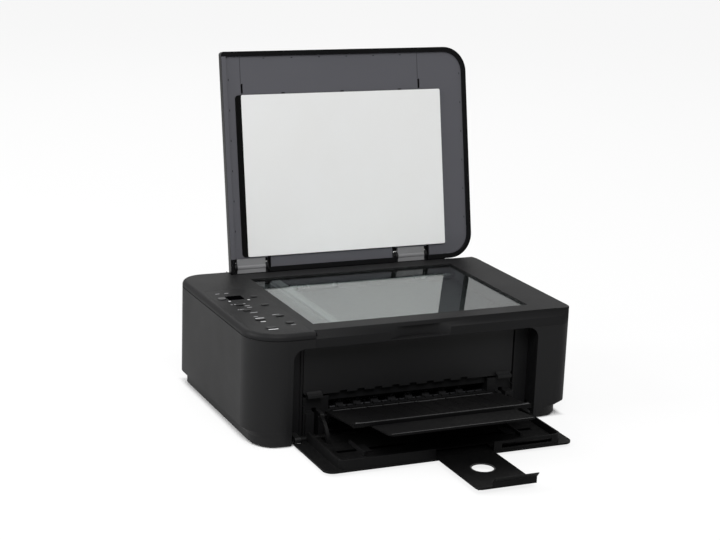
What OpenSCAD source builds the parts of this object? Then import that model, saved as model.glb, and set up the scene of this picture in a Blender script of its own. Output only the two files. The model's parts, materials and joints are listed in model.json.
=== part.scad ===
// All-in-one inkjet printer: flatbed scanner on top, front paper tray and output tray, lid standing open.
// X points right, Y points back, Z points up; the origin lies on the table under the middle of the casing.

/* [Casing] */
// Overall width
body_w = 443; // [436:1:456]
// Depth of the casing without its trays
body_d = 304; // [300:1:312]
// Height of the deck round the glass
deck_h = 146; // [144:0.5:150]
// Wall of the outer shells
wall = 2.5; // [2:0.1:3]
// Plan radius of the front left corner
corner_front_left = 45; // [30:1:50]
// Plan radius of the front right corner
corner_front_right = 20; // [14:1:24]
// Plan radius of the rear corners
corner_rear = 35; // [20:1:45]
// Height of the top cover's side band
band_h = 9; // [7.5:0.5:11]
// Height of the top cover's front band over the paper bay
front_band_h = 20.2; // [19.5:0.1:21]
// Slope along the front band's upper edge
bevel = 8.6; // [6:0.2:9]
// Inset of the base under the side walls
base_inset = 7.5; // [5:0.5:10]
// Plan radius of the base's front right corner
base_corner = 34; // [26:1:40]
// Height where the side walls end above the base
skirt_h = 20; // [18:0.5:22]
// Height of the base's upright side
base_side_h = 13; // [11:0.5:15]
// Diameter of a rubber foot
foot_dia = 16; // [12:1:20]
// Height of a foot below the base
foot_h = 1.5; // [1:0.1:1.8]

/* [Paper bay] */
// Width of the bay in the front
bay_w = 339.2; // [336:0.4:344]
// Radius of the bay's upper corners
bay_corner = 15; // [8:1:20]
// Depth of the bay's side returns
bay_return = 38; // [30:1:42]
// Depth of the inner cover behind the front
cover_back = 24; // [23.5:0.1:25]
// Width of the inner cover
cover_w = 293; // [291:0.5:295]
// Lower edge of the inner cover
cover_low = 57; // [56:0.5:60]
// Width of the output slot
slot_w = 224; // [222:1:226]

/* [Front door] */
// Width of the front door
door_w = 336; // [332:1:338]
// Reach of the front door from its hinge
door_reach = 110; // [106:0.5:111]
// Height of the hinge line
door_axis_h = 8; // [7.5:0.1:8.5]
// Thickness of the door's skin
door_skin = 2.3; // [2:0.1:2.6]
// Height of the door's inner walls above the table
door_wall_top = 19; // [17:0.5:19]
// Width between the outer faces of the inner walls
door_box_w = 300; // [298:0.5:303]
// Reach of the paper support beyond the hinge
support_reach = 221.5; // [205:0.5:221.5]
// Width of the paper support
support_w = 77.5; // [66:0.5:84]
// Middle of the paper support
support_x = 15.2; // [10:0.2:20]
// Diameter of its finger hole
support_hole = 27; // [20:1:32]
// Opening of the paper guides
paper_w = 212; // [150:1:213]

/* [Output tray] */
// Width of the output tray
tray_w = 242; // [238:1:243]
// Length of the output tray from its pivot
tray_len = 91; // [84:0.5:91.5]
// Slope of the output tray
tray_slope = 7.4; // [6:0.1:8]
// Height of the tray's pivot
tray_axis_h = 32.2; // [32:0.1:32.4]
// Width of the tray extension
extension_w = 196; // [180:1:198]
// Reach of the extension beyond the pivot
extension_reach = 143; // [130:1:145]

/* [Scanner] */
// Width of the glass opening
glass_w = 302; // [298:0.5:304]
// Depth of the glass opening
glass_d = 222; // [218:0.5:223]
// Left edge of the glass opening
glass_x = -131.3; // [-132:0.1:-130]
// Front edge of the glass opening
glass_y = -117.3; // [-118:0.1:-116]
// Thickness of the glass
glass_t = 3; // [2.5:0.1:3.5]

/* [Lid] */
// Left edge of the lid
lid_x = -147.4; // [-150:0.2:-146]
// Length of the lid in front of its hinge line
lid_len = 292.8; // [288:0.2:293.5]
// Thickness of the lid
lid_t = 9.4; // [8:0.2:11]
// Radius of the lid's right corners
lid_corner = 35; // [20:1:45]
// Angle of the open lid
lid_open = 100.8; // [90:0.2:104]
// Distance of the hinge line from the rear of the casing
hinge_in = 9.5; // [9:0.1:10.5]
// Height of the hinge line above the deck
hinge_up = 6.3; // [6:0.1:7]
// Width of the pad sheet
pad_w = 300; // [290:1:304]
// Depth of the pad sheet
pad_d = 220; // [210:1:222]

/* [Print mechanism] */
// Height of the output shaft
exit_h = 33; // [32.5:0.1:33.5]
// Distance between output rollers
exit_pitch = 24.2; // [23:0.1:24.6]
// Number of output rollers
exit_rollers = 8; // [4:1:8]
// Radius of the output rollers
exit_r = 6; // [5:0.1:6.2]
// Height of the feed shaft
feed_h = 34; // [33.5:0.1:34.2]
// Radius of the feed roller
feed_r = 9.9; // [8:0.1:10]
// Tooth size of the gears
gear_module = 0.8; // [0.796:0.002:0.82]
// Travel of the cartridge carriage
carriage_travel = 290; // [200:5:292]
// Travel of the scan carriage to the right
scan_travel = 262; // [200:2:264]

/* [Hidden] */
$fn = 64;

// Gap between pieces that lie beside each other
gap = 0.3;
// Radial clearance of a shaft in its bore
fit = 0.05;
eps = 0.01;

// Casing
half_w = body_w / 2;
half_d = body_d / 2;
seam_h = deck_h - band_h;
band_low = deck_h - front_band_h;
band_left = -141;
band_wrap = 14;
tub_floor = foot_h + wall;
tub_inner = base_inset + wall;
base_chamfer = 2;
foot_spots = [[-1, -1], [1, -1], [1, 1], [-1, 1]];
foot_in = [62, 34];
boss_x = half_w - 20;
boss_y = half_d - 62;
boss_low = 7;
boss_high = 44;
boss_r = 4;
screw_r = 1.4;
head_r = 3;
head_t = 1.8;

// Bay
bay_half = bay_w / 2;
cover_y = -half_d + cover_back;
cover_t = 2.5;
cover_top = band_low - 4.8;
cover_axis_y = cover_y + 2;
cover_axis_z = cover_top - 3;
cheek_in = slot_w / 2 + 11;
cheek_out = cover_w / 2 - 0.5;
cheek_front = cover_y - 9;
cheek_back = -100;
slot_low = exit_h + 4;
platen_top = 42.5;
platen_back = -57;

// Door
door_under = door_axis_h - 4;
door_axis_y = -half_d + gap + door_axis_h - door_under;
door_front = door_axis_y - door_reach;
door_floor = door_under + door_skin;
barrel_r = 4;
pin_r = 2.5;
ear_x = 157;
ear_w = 8;
box_half = door_box_w / 2;
door_wall = 2.5;
support_low = door_floor + 0.2;
support_t = 1.2;
rack_low = support_low + support_t + 0.2;
rack_h = 1.2;
platform_low = rack_low + rack_h + 0.2;
platform_t = 1.2;
platform_top = platform_low + platform_t;
platform_rear = door_axis_y - barrel_r - 1;
support_inner = door_front + 2.5;
support_tip = door_axis_y - support_reach;
lip_out = 5;
lip_up = 14.4;
lip_t = 1.6;
lip_rim = 8;
stay_in = cheek_in + 6.5;
stay_w = 4;
stay_r0 = 25;
stay_r1 = 30;
guide_wall_top = platform_top + 5.3;
guide_len = 46;
guide_y = door_front + 50;
pinion_teeth = 16;
pinion_module = 0.8;
pinion_r = pinion_module * pinion_teeth / 2;
pinion_hub_r = 2;
rack_past = 8;

// Output tray, drawn about its pivot with the plate level and pointing forwards
tray_axis_y = door_axis_y + 9.7;
tray_top = 6;
tray_t = 2.5;
tray_rear = 3.8;
tray_ear_in = cheek_in - 7;
tray_ear_t = 3;
tray_pin_r = 2;
extension_t = 2;
extension_top = tray_top - tray_t - gap;
extension_len = 68;

// Scanner
glass_lap = 3.5;
deck_t = wall;
glass_top = deck_h - deck_t;
glass_low = glass_top - glass_t;
pan_low = band_low - 11.8;
pan_wall = 2;
pan_x0 = glass_x - glass_lap - 14;
pan_x1 = glass_x + glass_w + glass_lap + 10;
pan_y0 = glass_y - glass_lap + 0.3;
pan_y1 = glass_y + glass_d + glass_lap + 14;
pan_floor = pan_low + pan_wall;
rod_r = 3;
rod_y = pan_y1 - 10;
rod_z = pan_floor + 9;
scan_bar_w = 18;
scan_x = glass_x + 35.3;
scoop_back = 16;
scoop_deep = 9;
scoop_wide = 2.19;
scoop_low = band_low + 1.5;
scoop_top = deck_h - 4;
step_h = deck_h - 5.5;
step_y = half_d - 21;

// Panel keys: distance from the panel's left edge, y, width and depth, wider with the panel
panel_t = 0.8;
panel_x0 = -half_w + 9;
panel_x1 = glass_x - 12;
panel_y0 = -half_d + 14;
panel_y1 = 62;
key_travel = 1;
key_stem_r = 1.6;
stem_low = deck_h - 7;
board_z = stem_low - 6;
panel_k = (panel_x1 - panel_x0) / 69.2;
display_site = on_panel(29, 22, 21, 18);
power_key = on_panel(11, 21, 10, 9);
wireless_key = on_panel(23.5, -12, 10, 6);
copies_key = on_panel(54.5, 20, 9, 6);
paper_key = on_panel(23.5, -38, 10, 6);
fit_key = on_panel(54.5, -20, 10, 6);
scan_key = on_panel(54.5, -72, 10, 6);
stop_key = on_panel(55.5, -104, 10, 7);
black_key = on_panel(25.5, -80, 13, 8);
color_key = on_panel(25.5, -118, 13, 8);
keys = [power_key, wireless_key, copies_key, paper_key, fit_key, scan_key, stop_key, black_key,
        color_key];

// Lid
hinge_y = half_d - hinge_in;
hinge_z = deck_h + hinge_up;
lid_low = deck_h + 0.6;
lid_front = hinge_y - lid_len;
lid_rear = half_d - 1.5;
lid_right = half_w - 0.3;
lid_skin = 2;
lid_rim = 6.5;
pad_sheet_t = 0.8;
foam_t = 2;
pad_low = deck_h + 0.25;
lining_low = pad_low + pad_sheet_t + foam_t;
lining_t = 2.5;
pad_x = glass_x + 9.8;
pad_front = lid_front + 58.8;
foam_margin = 8;
hinge_half = 24;
hinge_sites = [-117, 125];
hinge_pin_r = 2;
knuckle_r = 4.2;
ear_t = 3;

// Print mechanism
exit_y = cover_y + 15;
exit_shaft_r = 3;
feed_y = -45;
feed_shaft_r = 4;
frame_x = cover_w / 2 + 7.5;
frame_t = 2;
frame_right = 209;
gear_x = -frame_x - 2.5;
gear_t = 5;
feed_teeth = 40;
exit_teeth = 24;
idler_teeth = 54;
motor_teeth = 16;
rail_y = -30;
rail_t = 1.5;
rail_low = 56;
flange_z = 103;
carriage_w = 62;
carriage_x = frame_right - frame_t - 2;
carriage_low = 46;
carriage_top = 98;
carriage_front = -97;
carriage_rear = rail_y - 10;
belt_z = 78;
belt_y = rail_y - 5;
belt_w = 4;
belt_t = 0.9;
belt_in = 0.3;
pulley_r = 6;
pulley_x0 = -frame_x + 14;
pulley_x1 = frame_right - 16;
pulley_bore = 1.5;
stud_r = 3;
motor_r = 13;
motor_len = 34;

// ---------- shared shapes ----------

// A square corner minus its quarter circle, cut away to round a plan's corner
module corner_cutter(r) {
    difference() {
        translate([-1, -1]) square(r + 1);
        translate([r, r]) circle(r);
    }
}

// Rectangle with its own radius at each corner: front left, front right, rear right, rear left
module plan(x0, y0, x1, y1, r) {
    difference() {
        translate([x0, y0]) square([x1 - x0, y1 - y0]);
        translate([x0, y0]) corner_cutter(r[0]);
        translate([x1, y0]) mirror([1, 0]) corner_cutter(r[1]);
        translate([x1, y1]) mirror([1, 0]) mirror([0, 1]) corner_cutter(r[2]);
        translate([x0, y1]) mirror([0, 1]) corner_cutter(r[3]);
    }
}

// Place of a key: the panel's width stretches its X and its width
function on_panel(x, y, w, d) = [panel_x0 + x * panel_k, y, w * panel_k, d];

// Plan of the casing, shrunk at the sides and rear, and at the front by its own amount
module body_plan(side, front) {
    plan(-half_w + side, -half_d + front, half_w - side, half_d - side,
         [corner_front_left - side, max(corner_front_right - side, 1), corner_rear - side,
          corner_rear - side]);
}

// Plan of the base, rounder than the casing at its front right corner
module base_plan(side, front) {
    plan(-half_w + side, -half_d + front, half_w - side, half_d - side,
         [corner_front_left - side, base_corner - front, corner_rear - side, corner_rear - side]);
}

// Box from its lowest to its highest corner
module box(low, high) {
    translate(low) cube(high - low);
}

// Round bar along X
module bar_x(x0, x1, y, z, r) {
    translate([x0, y, z]) rotate([0, 90, 0]) cylinder(h = x1 - x0, r = r);
}

// Both sides, mirrored about the middle plane
module both_sides() {
    children();
    mirror([1, 0, 0]) children();
}

// Outline of a spur gear: straight flanks between the root and the tip
module gear_outline(teeth, size) {
    pitch_r = teeth * size / 2;
    tip_r = pitch_r + 0.9 * size;
    root_r = pitch_r - 1.15 * size;
    step = 360 / teeth;
    polygon([for (i = [0 : teeth - 1], p = [[root_r, -0.36], [pitch_r, -0.23], [tip_r, -0.11],
                                            [tip_r, 0.11], [pitch_r, 0.23], [root_r, 0.36]])
             p[0] * [cos((i + p[1]) * step), sin((i + p[1]) * step)]]);
}

// Spur gear on an axis along X, one tooth pointing along its angle from +Y towards +Z
module gear_x_axis(teeth, size, x, y, z, thick, bore, angle) {
    translate([x, y, z]) rotate([90, 0, 90]) rotate([0, 0, angle]) difference() {
        linear_extrude(thick) gear_outline(teeth, size);
        translate([0, 0, -1]) cylinder(h = thick + 2, r = bore);
    }
}

// Turns children about the lid's hinge line from shut to open
module lid_opened() {
    translate([0, hinge_y, hinge_z]) rotate([-lid_open, 0, 0]) translate([0, -hinge_y, -hinge_z])
        children();
}

// Places children drawn about the output tray's pivot
module on_tray() {
    translate([0, tray_axis_y, tray_axis_h]) rotate([-tray_slope, 0, 0]) children();
}

// ---------- casing ----------

// Opening of the paper bay, square below and rounded above, drawn in X and Z
module bay_outline() {
    difference() {
        translate([-bay_half, -1]) square([bay_w, band_low + 1]);
        for (side = [0, 1]) mirror([side, 0])
            translate([-bay_half, band_low]) mirror([0, 1]) corner_cutter(bay_corner);
    }
}

module base_tub() {
    color([0.05, 0.05, 0.05]) difference() {
        union() {
            difference() {
                union() {
                    hull() {
                        translate([0, 0, foot_h]) linear_extrude(eps)
                            base_plan(base_inset + base_chamfer, base_chamfer);
                        translate([0, 0, foot_h + base_chamfer]) linear_extrude(eps)
                            base_plan(base_inset, 0);
                    }
                    translate([0, 0, foot_h + base_chamfer])
                        linear_extrude(base_side_h - foot_h - base_chamfer) base_plan(base_inset, 0);
                    hull() {
                        translate([0, 0, base_side_h]) linear_extrude(eps) base_plan(base_inset, 0);
                        translate([0, 0, skirt_h - eps]) linear_extrude(eps) body_plan(0, 0);
                    }
                }
                translate([0, 0, tub_floor]) linear_extrude(skirt_h) base_plan(tub_inner, wall);
                box([-bay_half - eps, -half_d - 1, 0], [bay_half + eps, cover_y - 4, skirt_h + 1]);
            }
            both_sides() {
                box([bay_half, -half_d + wall, foot_h], [bay_half + wall, cover_y - 4, skirt_h]);
                // hinge ear
                box([ear_x, door_axis_y, door_under],
                    [ear_x + ear_w, cover_y - 3, door_axis_h + barrel_r]);
                bar_x(ear_x, ear_x + ear_w, door_axis_y, door_axis_h, barrel_r);
            }
            for (sx = [-1, 1], sy = [-1, 1]) translate([sx * boss_x, sy * boss_y, foot_h])
                cylinder(h = boss_low - foot_h, r = head_r + 2.5);
        }
        both_sides() bar_x(ear_x - 1, ear_x + ear_w + 1, door_axis_y, door_axis_h, pin_r + fit);
        for (sx = [-1, 1], sy = [-1, 1]) translate([sx * boss_x, sy * boss_y, 0]) {
            cylinder(h = tub_floor + 0.5, r = head_r + 0.5);
            cylinder(h = boss_low + 1, r = screw_r + 0.3);
        }
        for (s = foot_spots)
            translate([s[0] * (half_w - foot_in[0]), s[1] * (half_d - foot_in[1]), 0])
                cylinder(h = foot_h + 1, r = foot_dia / 2 + fit);
        // cooling slots in the floor
        for (i = [-4 : 4]) box([i * 14 - 3, 70, 0], [i * 14 + 3, 118, tub_floor + 1]);
    }
}

module rubber_feet() {
    color([0.12, 0.12, 0.12]) for (s = foot_spots)
        translate([s[0] * (half_w - foot_in[0]), s[1] * (half_d - foot_in[1]), 0])
            cylinder(h = foot_h + 1, r = foot_dia / 2);
}

module main_casing() {
    color([0.07, 0.07, 0.07]) difference() {
        union() {
            difference() {
                translate([0, 0, skirt_h]) linear_extrude(seam_h - skirt_h) body_plan(0, 0);
                translate([0, 0, skirt_h - 1]) linear_extrude(seam_h) body_plan(wall, wall);
                translate([0, -half_d + wall + eps, 0]) rotate([90, 0, 0])
                    linear_extrude(wall + 1) bay_outline();
                // room for the front band of the top cover
                box([band_left - gap, -half_d - 1, band_low],
                    [half_w + 1, -half_d + band_wrap + gap, deck_h]);
            }
            both_sides() {
                box([bay_half, -half_d + wall, skirt_h],
                    [bay_half + wall, -half_d + bay_return, band_low]);
                for (sy = [-1, 1]) {
                    translate([boss_x, sy * boss_y, boss_low])
                        cylinder(h = boss_high - boss_low, r = boss_r);
                    box([boss_x, sy * boss_y - 1, skirt_h + 2],
                        [half_w - wall + eps, sy * boss_y + 1, boss_high]);
                }
            }
        }
        for (sx = [-1, 1], sy = [-1, 1]) translate([sx * boss_x, sy * boss_y, 0])
            cylinder(h = boss_low + 14, r = screw_r + fit);
        pan_room();
        // rear windows for the sockets
        box([inlet_x - inlet_w / 2 - gap, half_d - wall - 1, inlet_z - gap],
            [inlet_x + inlet_w / 2 + gap, half_d + 1, inlet_z + inlet_h + gap]);
        box([usb_x - usb_w / 2 - gap, half_d - wall - 1, usb_z - gap],
            [usb_x + usb_w / 2 + gap, half_d + 1, usb_z + usb_h + gap]);
        // hand grip along the rear
        for (i = [-7 : 7]) box([i * 12 - 4, half_d - wall - 1, seam_h - 41],
                [i * 12 + 4, half_d + 1, seam_h - 37]);
    }
}

module casing_screws() {
    color([0.5, 0.5, 0.52]) for (sx = [-1, 1], sy = [-1, 1])
        translate([sx * boss_x, sy * boss_y, 0]) {
            translate([0, 0, tub_floor + 0.5 - head_t]) cylinder(h = head_t, r = head_r);
            translate([0, 0, tub_floor]) cylinder(h = boss_low + 12 - tub_floor, r = screw_r);
        }
}

// Room for the scanner's pan, cut from what reaches up beside it
module pan_room() {
    box([pan_x0 - gap, pan_y0 - gap, pan_low - gap], [pan_x1 + gap, pan_y1 + gap, deck_h + 1]);
}

// Frame behind the door: cheeks either side of the paper path, the bar between the input and
// output slots, the feed deck and the posts that carry the inner cover
module bay_frame() {
    color([0.04, 0.04, 0.04]) difference() {
        union() {
            both_sides() {
                box([cheek_in, cheek_front, tub_floor], [cheek_out, cheek_back, slot_low]);
                box([cheek_in, cover_y + 0.5, slot_low - eps], [cheek_out, cheek_back, cover_low - 3]);
                box([slot_w / 2, cover_y, tub_floor], [cheek_in + eps, cheek_back, cover_low - 3]);
                box([slot_w / 2, cheek_back - eps, tub_floor],
                    [slot_w / 2 + 6, platen_back, platen_top - 2]);
                // tray pivot ear
                bar_x(cheek_in, cheek_in + 5, tray_axis_y, tray_axis_h, tray_pin_r + 2.2);
                box([cheek_in, tray_axis_y, tray_axis_h - tray_pin_r - 2.2],
                    [cheek_in + 5, cheek_front + 1, tray_axis_h + tray_pin_r + 2.2]);
                // post for the inner cover's hinge
                box([cover_w / 2 + 1.5, cover_axis_y - 3.5, tub_floor],
                    [cover_w / 2 + 4.5, cover_axis_y + 9, cover_axis_z + 3.5]);
                // panel between the post and the bay's return
                box([cover_w / 2 + 4.5 - eps, cover_axis_y - 1.5, tub_floor],
                    [bay_half - gap, cover_axis_y + 0.5, cover_axis_z + 3.5]);
                box([cheek_out - eps, cheek_front + 3, tub_floor],
                    [cover_w / 2 + 1.5 + eps, cheek_back, cover_low - 12]);
            }
            // bar between the two slots, with ribs that carry the sheet
            box([-slot_w / 2 - eps, cover_y, tray_axis_h - 6],
                [slot_w / 2 + eps, cover_y + 7, exit_h + 3]);
            for (i = [-9 : 9])
                box([i * 12.1 - 0.6, cover_y + 1, exit_h + 2],
                    [i * 12.1 + 0.6, cover_y + 7, slot_low + 1]);
            // ribbed platen that the sheet crosses under the print heads
            box([-slot_w / 2 - eps, exit_y + 9, platen_top - 5],
                [slot_w / 2 + eps, platen_back, platen_top - 2.5]);
            for (i = [-9 : 9])
                box([i * 12.1 - 0.6, exit_y + 10, platen_top - 3],
                    [i * 12.1 + 0.6, platen_back - 1, platen_top]);
            // feed deck with its ribs
            box([-slot_w / 2 - eps, cover_y, tub_floor + 3], [slot_w / 2 + eps, -50, tub_floor + 5]);
            for (i = [-8 : 8])
                box([i * 13 - 0.6, cover_y + 2, tub_floor + 5 - eps], [i * 13 + 0.6, -52, tub_floor + 6]);
        }
        pan_room();
        both_sides() {
            // slot that the door's curved stay runs in
            box([stay_in - 1, cheek_front - 1, 0],
                [stay_in + stay_w + 1, door_axis_y + stay_r1 + 2, door_axis_h + stay_r1 + 2]);
            bar_x(cheek_in - 1, cheek_in + 6, tray_axis_y, tray_axis_h, tray_pin_r + fit);
            bar_x(cover_w / 2, cover_w / 2 + 6, cover_axis_y, cover_axis_z, pin_r + fit);
            bar_x(slot_w / 2 - 1, cover_w / 2 + 6, exit_y, exit_h, exit_shaft_r + fit);
        }
    }
}

// Cover over the cartridge space, hinged at its top, with finger grips at its lower corners
module inner_cover() {
    color([0.05, 0.05, 0.05]) difference() {
        union() {
            translate([0, cover_y + cover_t, 0]) rotate([90, 0, 0]) linear_extrude(cover_t)
                plan(-cover_w / 2, cover_low, cover_w / 2, cover_top, [6, 6, 2, 2]);
            both_sides() {
                // grip
                difference() {
                    box([cheek_in, cover_y - 8, cover_low - 1.6],
                        [cheek_out - 3, cover_y + eps, cover_low + 5]);
                    translate([cheek_in - 1, cover_y - 9, cover_low + 13]) rotate([0, 90, 0])
                        cylinder(h = 30, r = 11);
                }
                // hinge lug and pin
                box([cover_w / 2 - 3, cover_y + 1, cover_axis_z - 3],
                    [cover_w / 2, cover_axis_y + 3, cover_top]);
                bar_x(cover_w / 2 - 1, cover_w / 2 + 4.3, cover_axis_y, cover_axis_z, pin_r);
                // stiffening ribs
                box([40, cover_y + 1, cover_low + 6], [41.5, cover_y + 6, cover_top - 6]);
                box([90, cover_y + 1, cover_low + 6], [91.5, cover_y + 6, cover_top - 6]);
            }
            box([-cover_w / 2 + 6, cover_y + 1, cover_low + 8],
                [cover_w / 2 - 6, cover_y + 5, cover_low + 9.5]);
        }
        // notches over the star wheels
        for (i = [0 : exit_rollers - 1]) translate([exit_x(i), 0, 0])
            box([-5, cover_y - 1, cover_low - 1], [5, cover_y + cover_t + 1, cover_low + 2.5]);
    }
}

inlet_w = 28;
inlet_h = 21;
inlet_x = -150;
inlet_z = 40;
usb_w = 13;
usb_h = 12;
usb_x = 150;
usb_z = 28;

// Two-pin mains inlet with its flange and moulded shroud
module power_inlet() {
    color([0.03, 0.03, 0.03]) difference() {
        union() {
            box([inlet_x - inlet_w / 2, half_d - 20, inlet_z],
                [inlet_x + inlet_w / 2, half_d, inlet_z + inlet_h]);
            box([inlet_x - inlet_w / 2 - 3, half_d - wall - 2, inlet_z - 3],
                [inlet_x + inlet_w / 2 + 3, half_d - wall, inlet_z + inlet_h + 3]);
        }
        translate([inlet_x, half_d + 1, inlet_z + inlet_h / 2]) rotate([90, 0, 0])
            linear_extrude(15) plan(-8.5, -5, 8.5, 5, [4.9, 4.9, 4.9, 4.9]);
    }
    color([0.7, 0.7, 0.7]) for (s = [-1, 1])
        translate([inlet_x + s * 4.3, half_d - 1, inlet_z + inlet_h / 2]) rotate([90, 0, 0])
            cylinder(h = 15, r = 1.2);
}

// ---------- scanner ----------

// Outer form of the top cover, or its hollow when shrunk by one wall
module top_form(side, top) {
    difference() {
        union() {
            translate([0, 0, seam_h - (side > 0 ? 1 : 0)])
                linear_extrude(top - seam_h + (side > 0 ? 1 : 0))
                body_plan(side, side);
            intersection() {
                translate([0, 0, band_low - (side > 0 ? 1 : 0)]) linear_extrude(top - band_low)
                    body_plan(side, side);
                box([band_left + side, -half_d - 1, band_low - 1],
                    [half_w + 1, -half_d + band_wrap - side, top - 1]);
            }
        }
        // sloping edge along the front band
        translate([band_left + side, -half_d + side * 0.4 + side, deck_h - bevel - side * 0.4 - side])
            rotate([45, 0, 0]) translate([0, -40, 0]) cube([body_w, 40 + bevel * 2, 40]);
    }
}

// Elliptical column in front of the band that the finger scoop is cut with
module scoop_form(grow, z0, z1) {
    translate([0, -half_d - scoop_back, z0]) scale([scoop_wide, 1, 1])
        cylinder(h = z1 - z0, r = scoop_back + scoop_deep + grow);
}

module top_cover() {
    color([0.06, 0.06, 0.06]) difference() {
        union() {
            difference() {
                top_form(0, deck_h);
                top_form(wall, deck_h - deck_t);
            }
            // wall behind the finger scoop
            intersection() {
                top_form(0, deck_h);
                scoop_form(wall, band_low, scoop_top + wall);
            }
        }
        scoop_form(0, scoop_low, scoop_top);
        // glass opening with sloping edges
        box([glass_x, glass_y, seam_h], [glass_x + glass_w, glass_y + glass_d, deck_h + 1]);
        // lower strip at the rear that clears the lid's hinge edge
        box([lid_x - 1.5, step_y, step_h], [half_w + 1, half_d + 1, deck_h + 1]);
        // recess for the panel sheet and holes for its keys
        translate([0, 0, deck_h - panel_t]) linear_extrude(2) panel_outline(0);
        for (k = keys) translate([k[0], k[1], seam_h]) cylinder(h = band_h + 1, r = key_stem_r + 0.4);
        box([display_site[0] - display_site[2] / 2, display_site[1] - display_site[3] / 2, seam_h],
            [display_site[0] + display_site[2] / 2, display_site[1] + display_site[3] / 2, deck_h]);
        hinge_slots();
    }
    // floor under the lowered strip
    color([0.06, 0.06, 0.06]) difference() {
        box([lid_x - 1.5 - wall, step_y - wall, step_h - deck_t],
            [half_w - corner_rear, half_d - wall, step_h]);
        hinge_slots();
    }
}

// Slots that the hinge brackets stand up through
module hinge_slots() {
    for (s = hinge_sites) box([s - hinge_half - gap, hinge_y - 5 - gap, step_h - deck_t - 1],
                              [s + hinge_half + gap, hinge_y + 5 + gap, deck_h + 1]);
}

module panel_outline(in) {
    plan(panel_x0 + in, panel_y0 + in, panel_x1 - in, panel_y1 - in, [30 - in, 4, 4, 6]);
}

module platen_glass() {
    color([0.75, 0.85, 0.85, 0.5])
        box([glass_x - glass_lap, glass_y - glass_lap, glass_low],
            [glass_x + glass_w + glass_lap, glass_y + glass_d + glass_lap, glass_top]);
}

// Open tray under the glass that carries it and the scanning bar's rod
module scanner_pan() {
    color([0.1, 0.1, 0.1]) {
        difference() {
            box([pan_x0, pan_y0, pan_low], [pan_x1, pan_y1, glass_low]);
            box([pan_x0 + pan_wall, pan_y0 + pan_wall, pan_floor],
                [pan_x1 - pan_wall, pan_y1 - pan_wall, glass_low + 1]);
            bar_x(pan_x0 - 1, pan_x1 + 1, rod_y, rod_z, rod_r + fit);
        }
        // ledge behind the glass and the low rail under the front end of the bar
        box([pan_x0 + pan_wall - eps, pan_y0 + pan_wall + 4, pan_floor - eps],
            [pan_x1 - pan_wall + eps, pan_y0 + pan_wall + 7, pan_floor + 4]);
    }
}

// Contact image sensor on its holder, which slides along the rod
module scan_carriage() {
    color([0.2, 0.2, 0.22]) difference() {
        union() {
            box([scan_x - scan_bar_w / 2, pan_y0 + pan_wall + 3, pan_floor + 4 + gap],
                [scan_x + scan_bar_w / 2, rod_y - 9, glass_low - 4]);
            box([scan_x - scan_bar_w / 2 + 3, glass_y, glass_low - 4 - eps],
                [scan_x + scan_bar_w / 2 - 3, glass_y + glass_d - 4, glass_low - gap]);
            box([scan_x - scan_bar_w / 2 - 6, rod_y - 9 - eps, rod_z - 5],
                [scan_x + scan_bar_w / 2 + 6, rod_y + 5, rod_z + 6]);
        }
        bar_x(scan_x - 30, scan_x + 30, rod_y, rod_z, rod_r + fit);
        box([scan_x - scan_bar_w / 2 - 3, rod_y - 20, rod_z - 6],
            [scan_x + scan_bar_w / 2 + 3, rod_y - 9, rod_z - 4.8]);
    }
}

module scan_guide_rod() {
    color([0.7, 0.7, 0.72]) bar_x(pan_x0 - 3, pan_x1 + 3, rod_y, rod_z, rod_r);
}

// ---------- control panel ----------

module control_panel() {
    color([0.08, 0.08, 0.08]) difference() {
        translate([0, 0, deck_h - panel_t]) linear_extrude(panel_t) panel_outline(0.1);
        for (k = keys) translate([k[0], k[1], deck_h - panel_t - 1]) linear_extrude(panel_t + 2)
            key_outline(k, 0.25);
        box([display_site[0] - display_site[2] / 2 - gap, display_site[1] - display_site[3] / 2 - gap,
                seam_h],
            [display_site[0] + display_site[2] / 2 + gap, display_site[1] + display_site[3] / 2 + gap,
                    deck_h + 1]);
    }
}

// Rounded key face about its own middle
module key_outline(k, grow) {
    r = min(k[2], k[3]) / 2 - 0.4;
    plan(-k[2] / 2 - grow, -k[3] / 2 - grow, k[2] / 2 + grow, k[3] / 2 + grow, [r, r, r, r]);
}

// Circuit board under the deck: one switch under each key, and the display that shows in the panel
module panel_board() {
    color([0.02, 0.02, 0.02]) {
        box([panel_x0 + 4, -half_d + 22, board_z], [pan_x0 - 0.7, panel_y1 - 10, board_z + 1.6]);
        box([display_site[0] - display_site[2] / 2 + gap, display_site[1] - display_site[3] / 2 + gap,
                board_z],
            [display_site[0] + display_site[2] / 2 - gap, display_site[1] + display_site[3] / 2 - gap,
                    deck_h - 0.1]);
        for (k = keys) translate([k[0], k[1], board_z])
            cylinder(h = stem_low - 0.2 - key_travel - board_z, r = 3);
        for (y = [-90, 45]) box([pan_x0 - 4, y - 3, board_z], [pan_x0 - 0.7, y + 3, deck_h - deck_t]);
    }
}

// Key cap with the stem that reaches the switch under the deck
module key(k) {
    translate([k[0], k[1], 0]) {
        translate([0, 0, deck_h - panel_t + 1.05]) linear_extrude(0.9) key_outline(k, 0);
        translate([0, 0, stem_low]) cylinder(h = deck_h + 0.6 - stem_low, r = key_stem_r);
    }
}

module power_button() { color([0.2, 0.2, 0.2]) key(power_key); }
module wireless_button() { color([0.2, 0.2, 0.2]) key(wireless_key); }
module copies_button() { color([0.2, 0.2, 0.2]) key(copies_key); }
module paper_button() { color([0.2, 0.2, 0.2]) key(paper_key); }
module fit_button() { color([0.2, 0.2, 0.2]) key(fit_key); }
module stop_button() { color([0.2, 0.2, 0.2]) key(stop_key); }
module scan_button() { color([0.2, 0.2, 0.2]) key(scan_key); }
module black_button() { color([0.2, 0.2, 0.2]) key(black_key); }
module color_button() { color([0.2, 0.2, 0.2]) key(color_key); }

// ---------- lid, drawn shut and then turned open ----------

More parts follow.
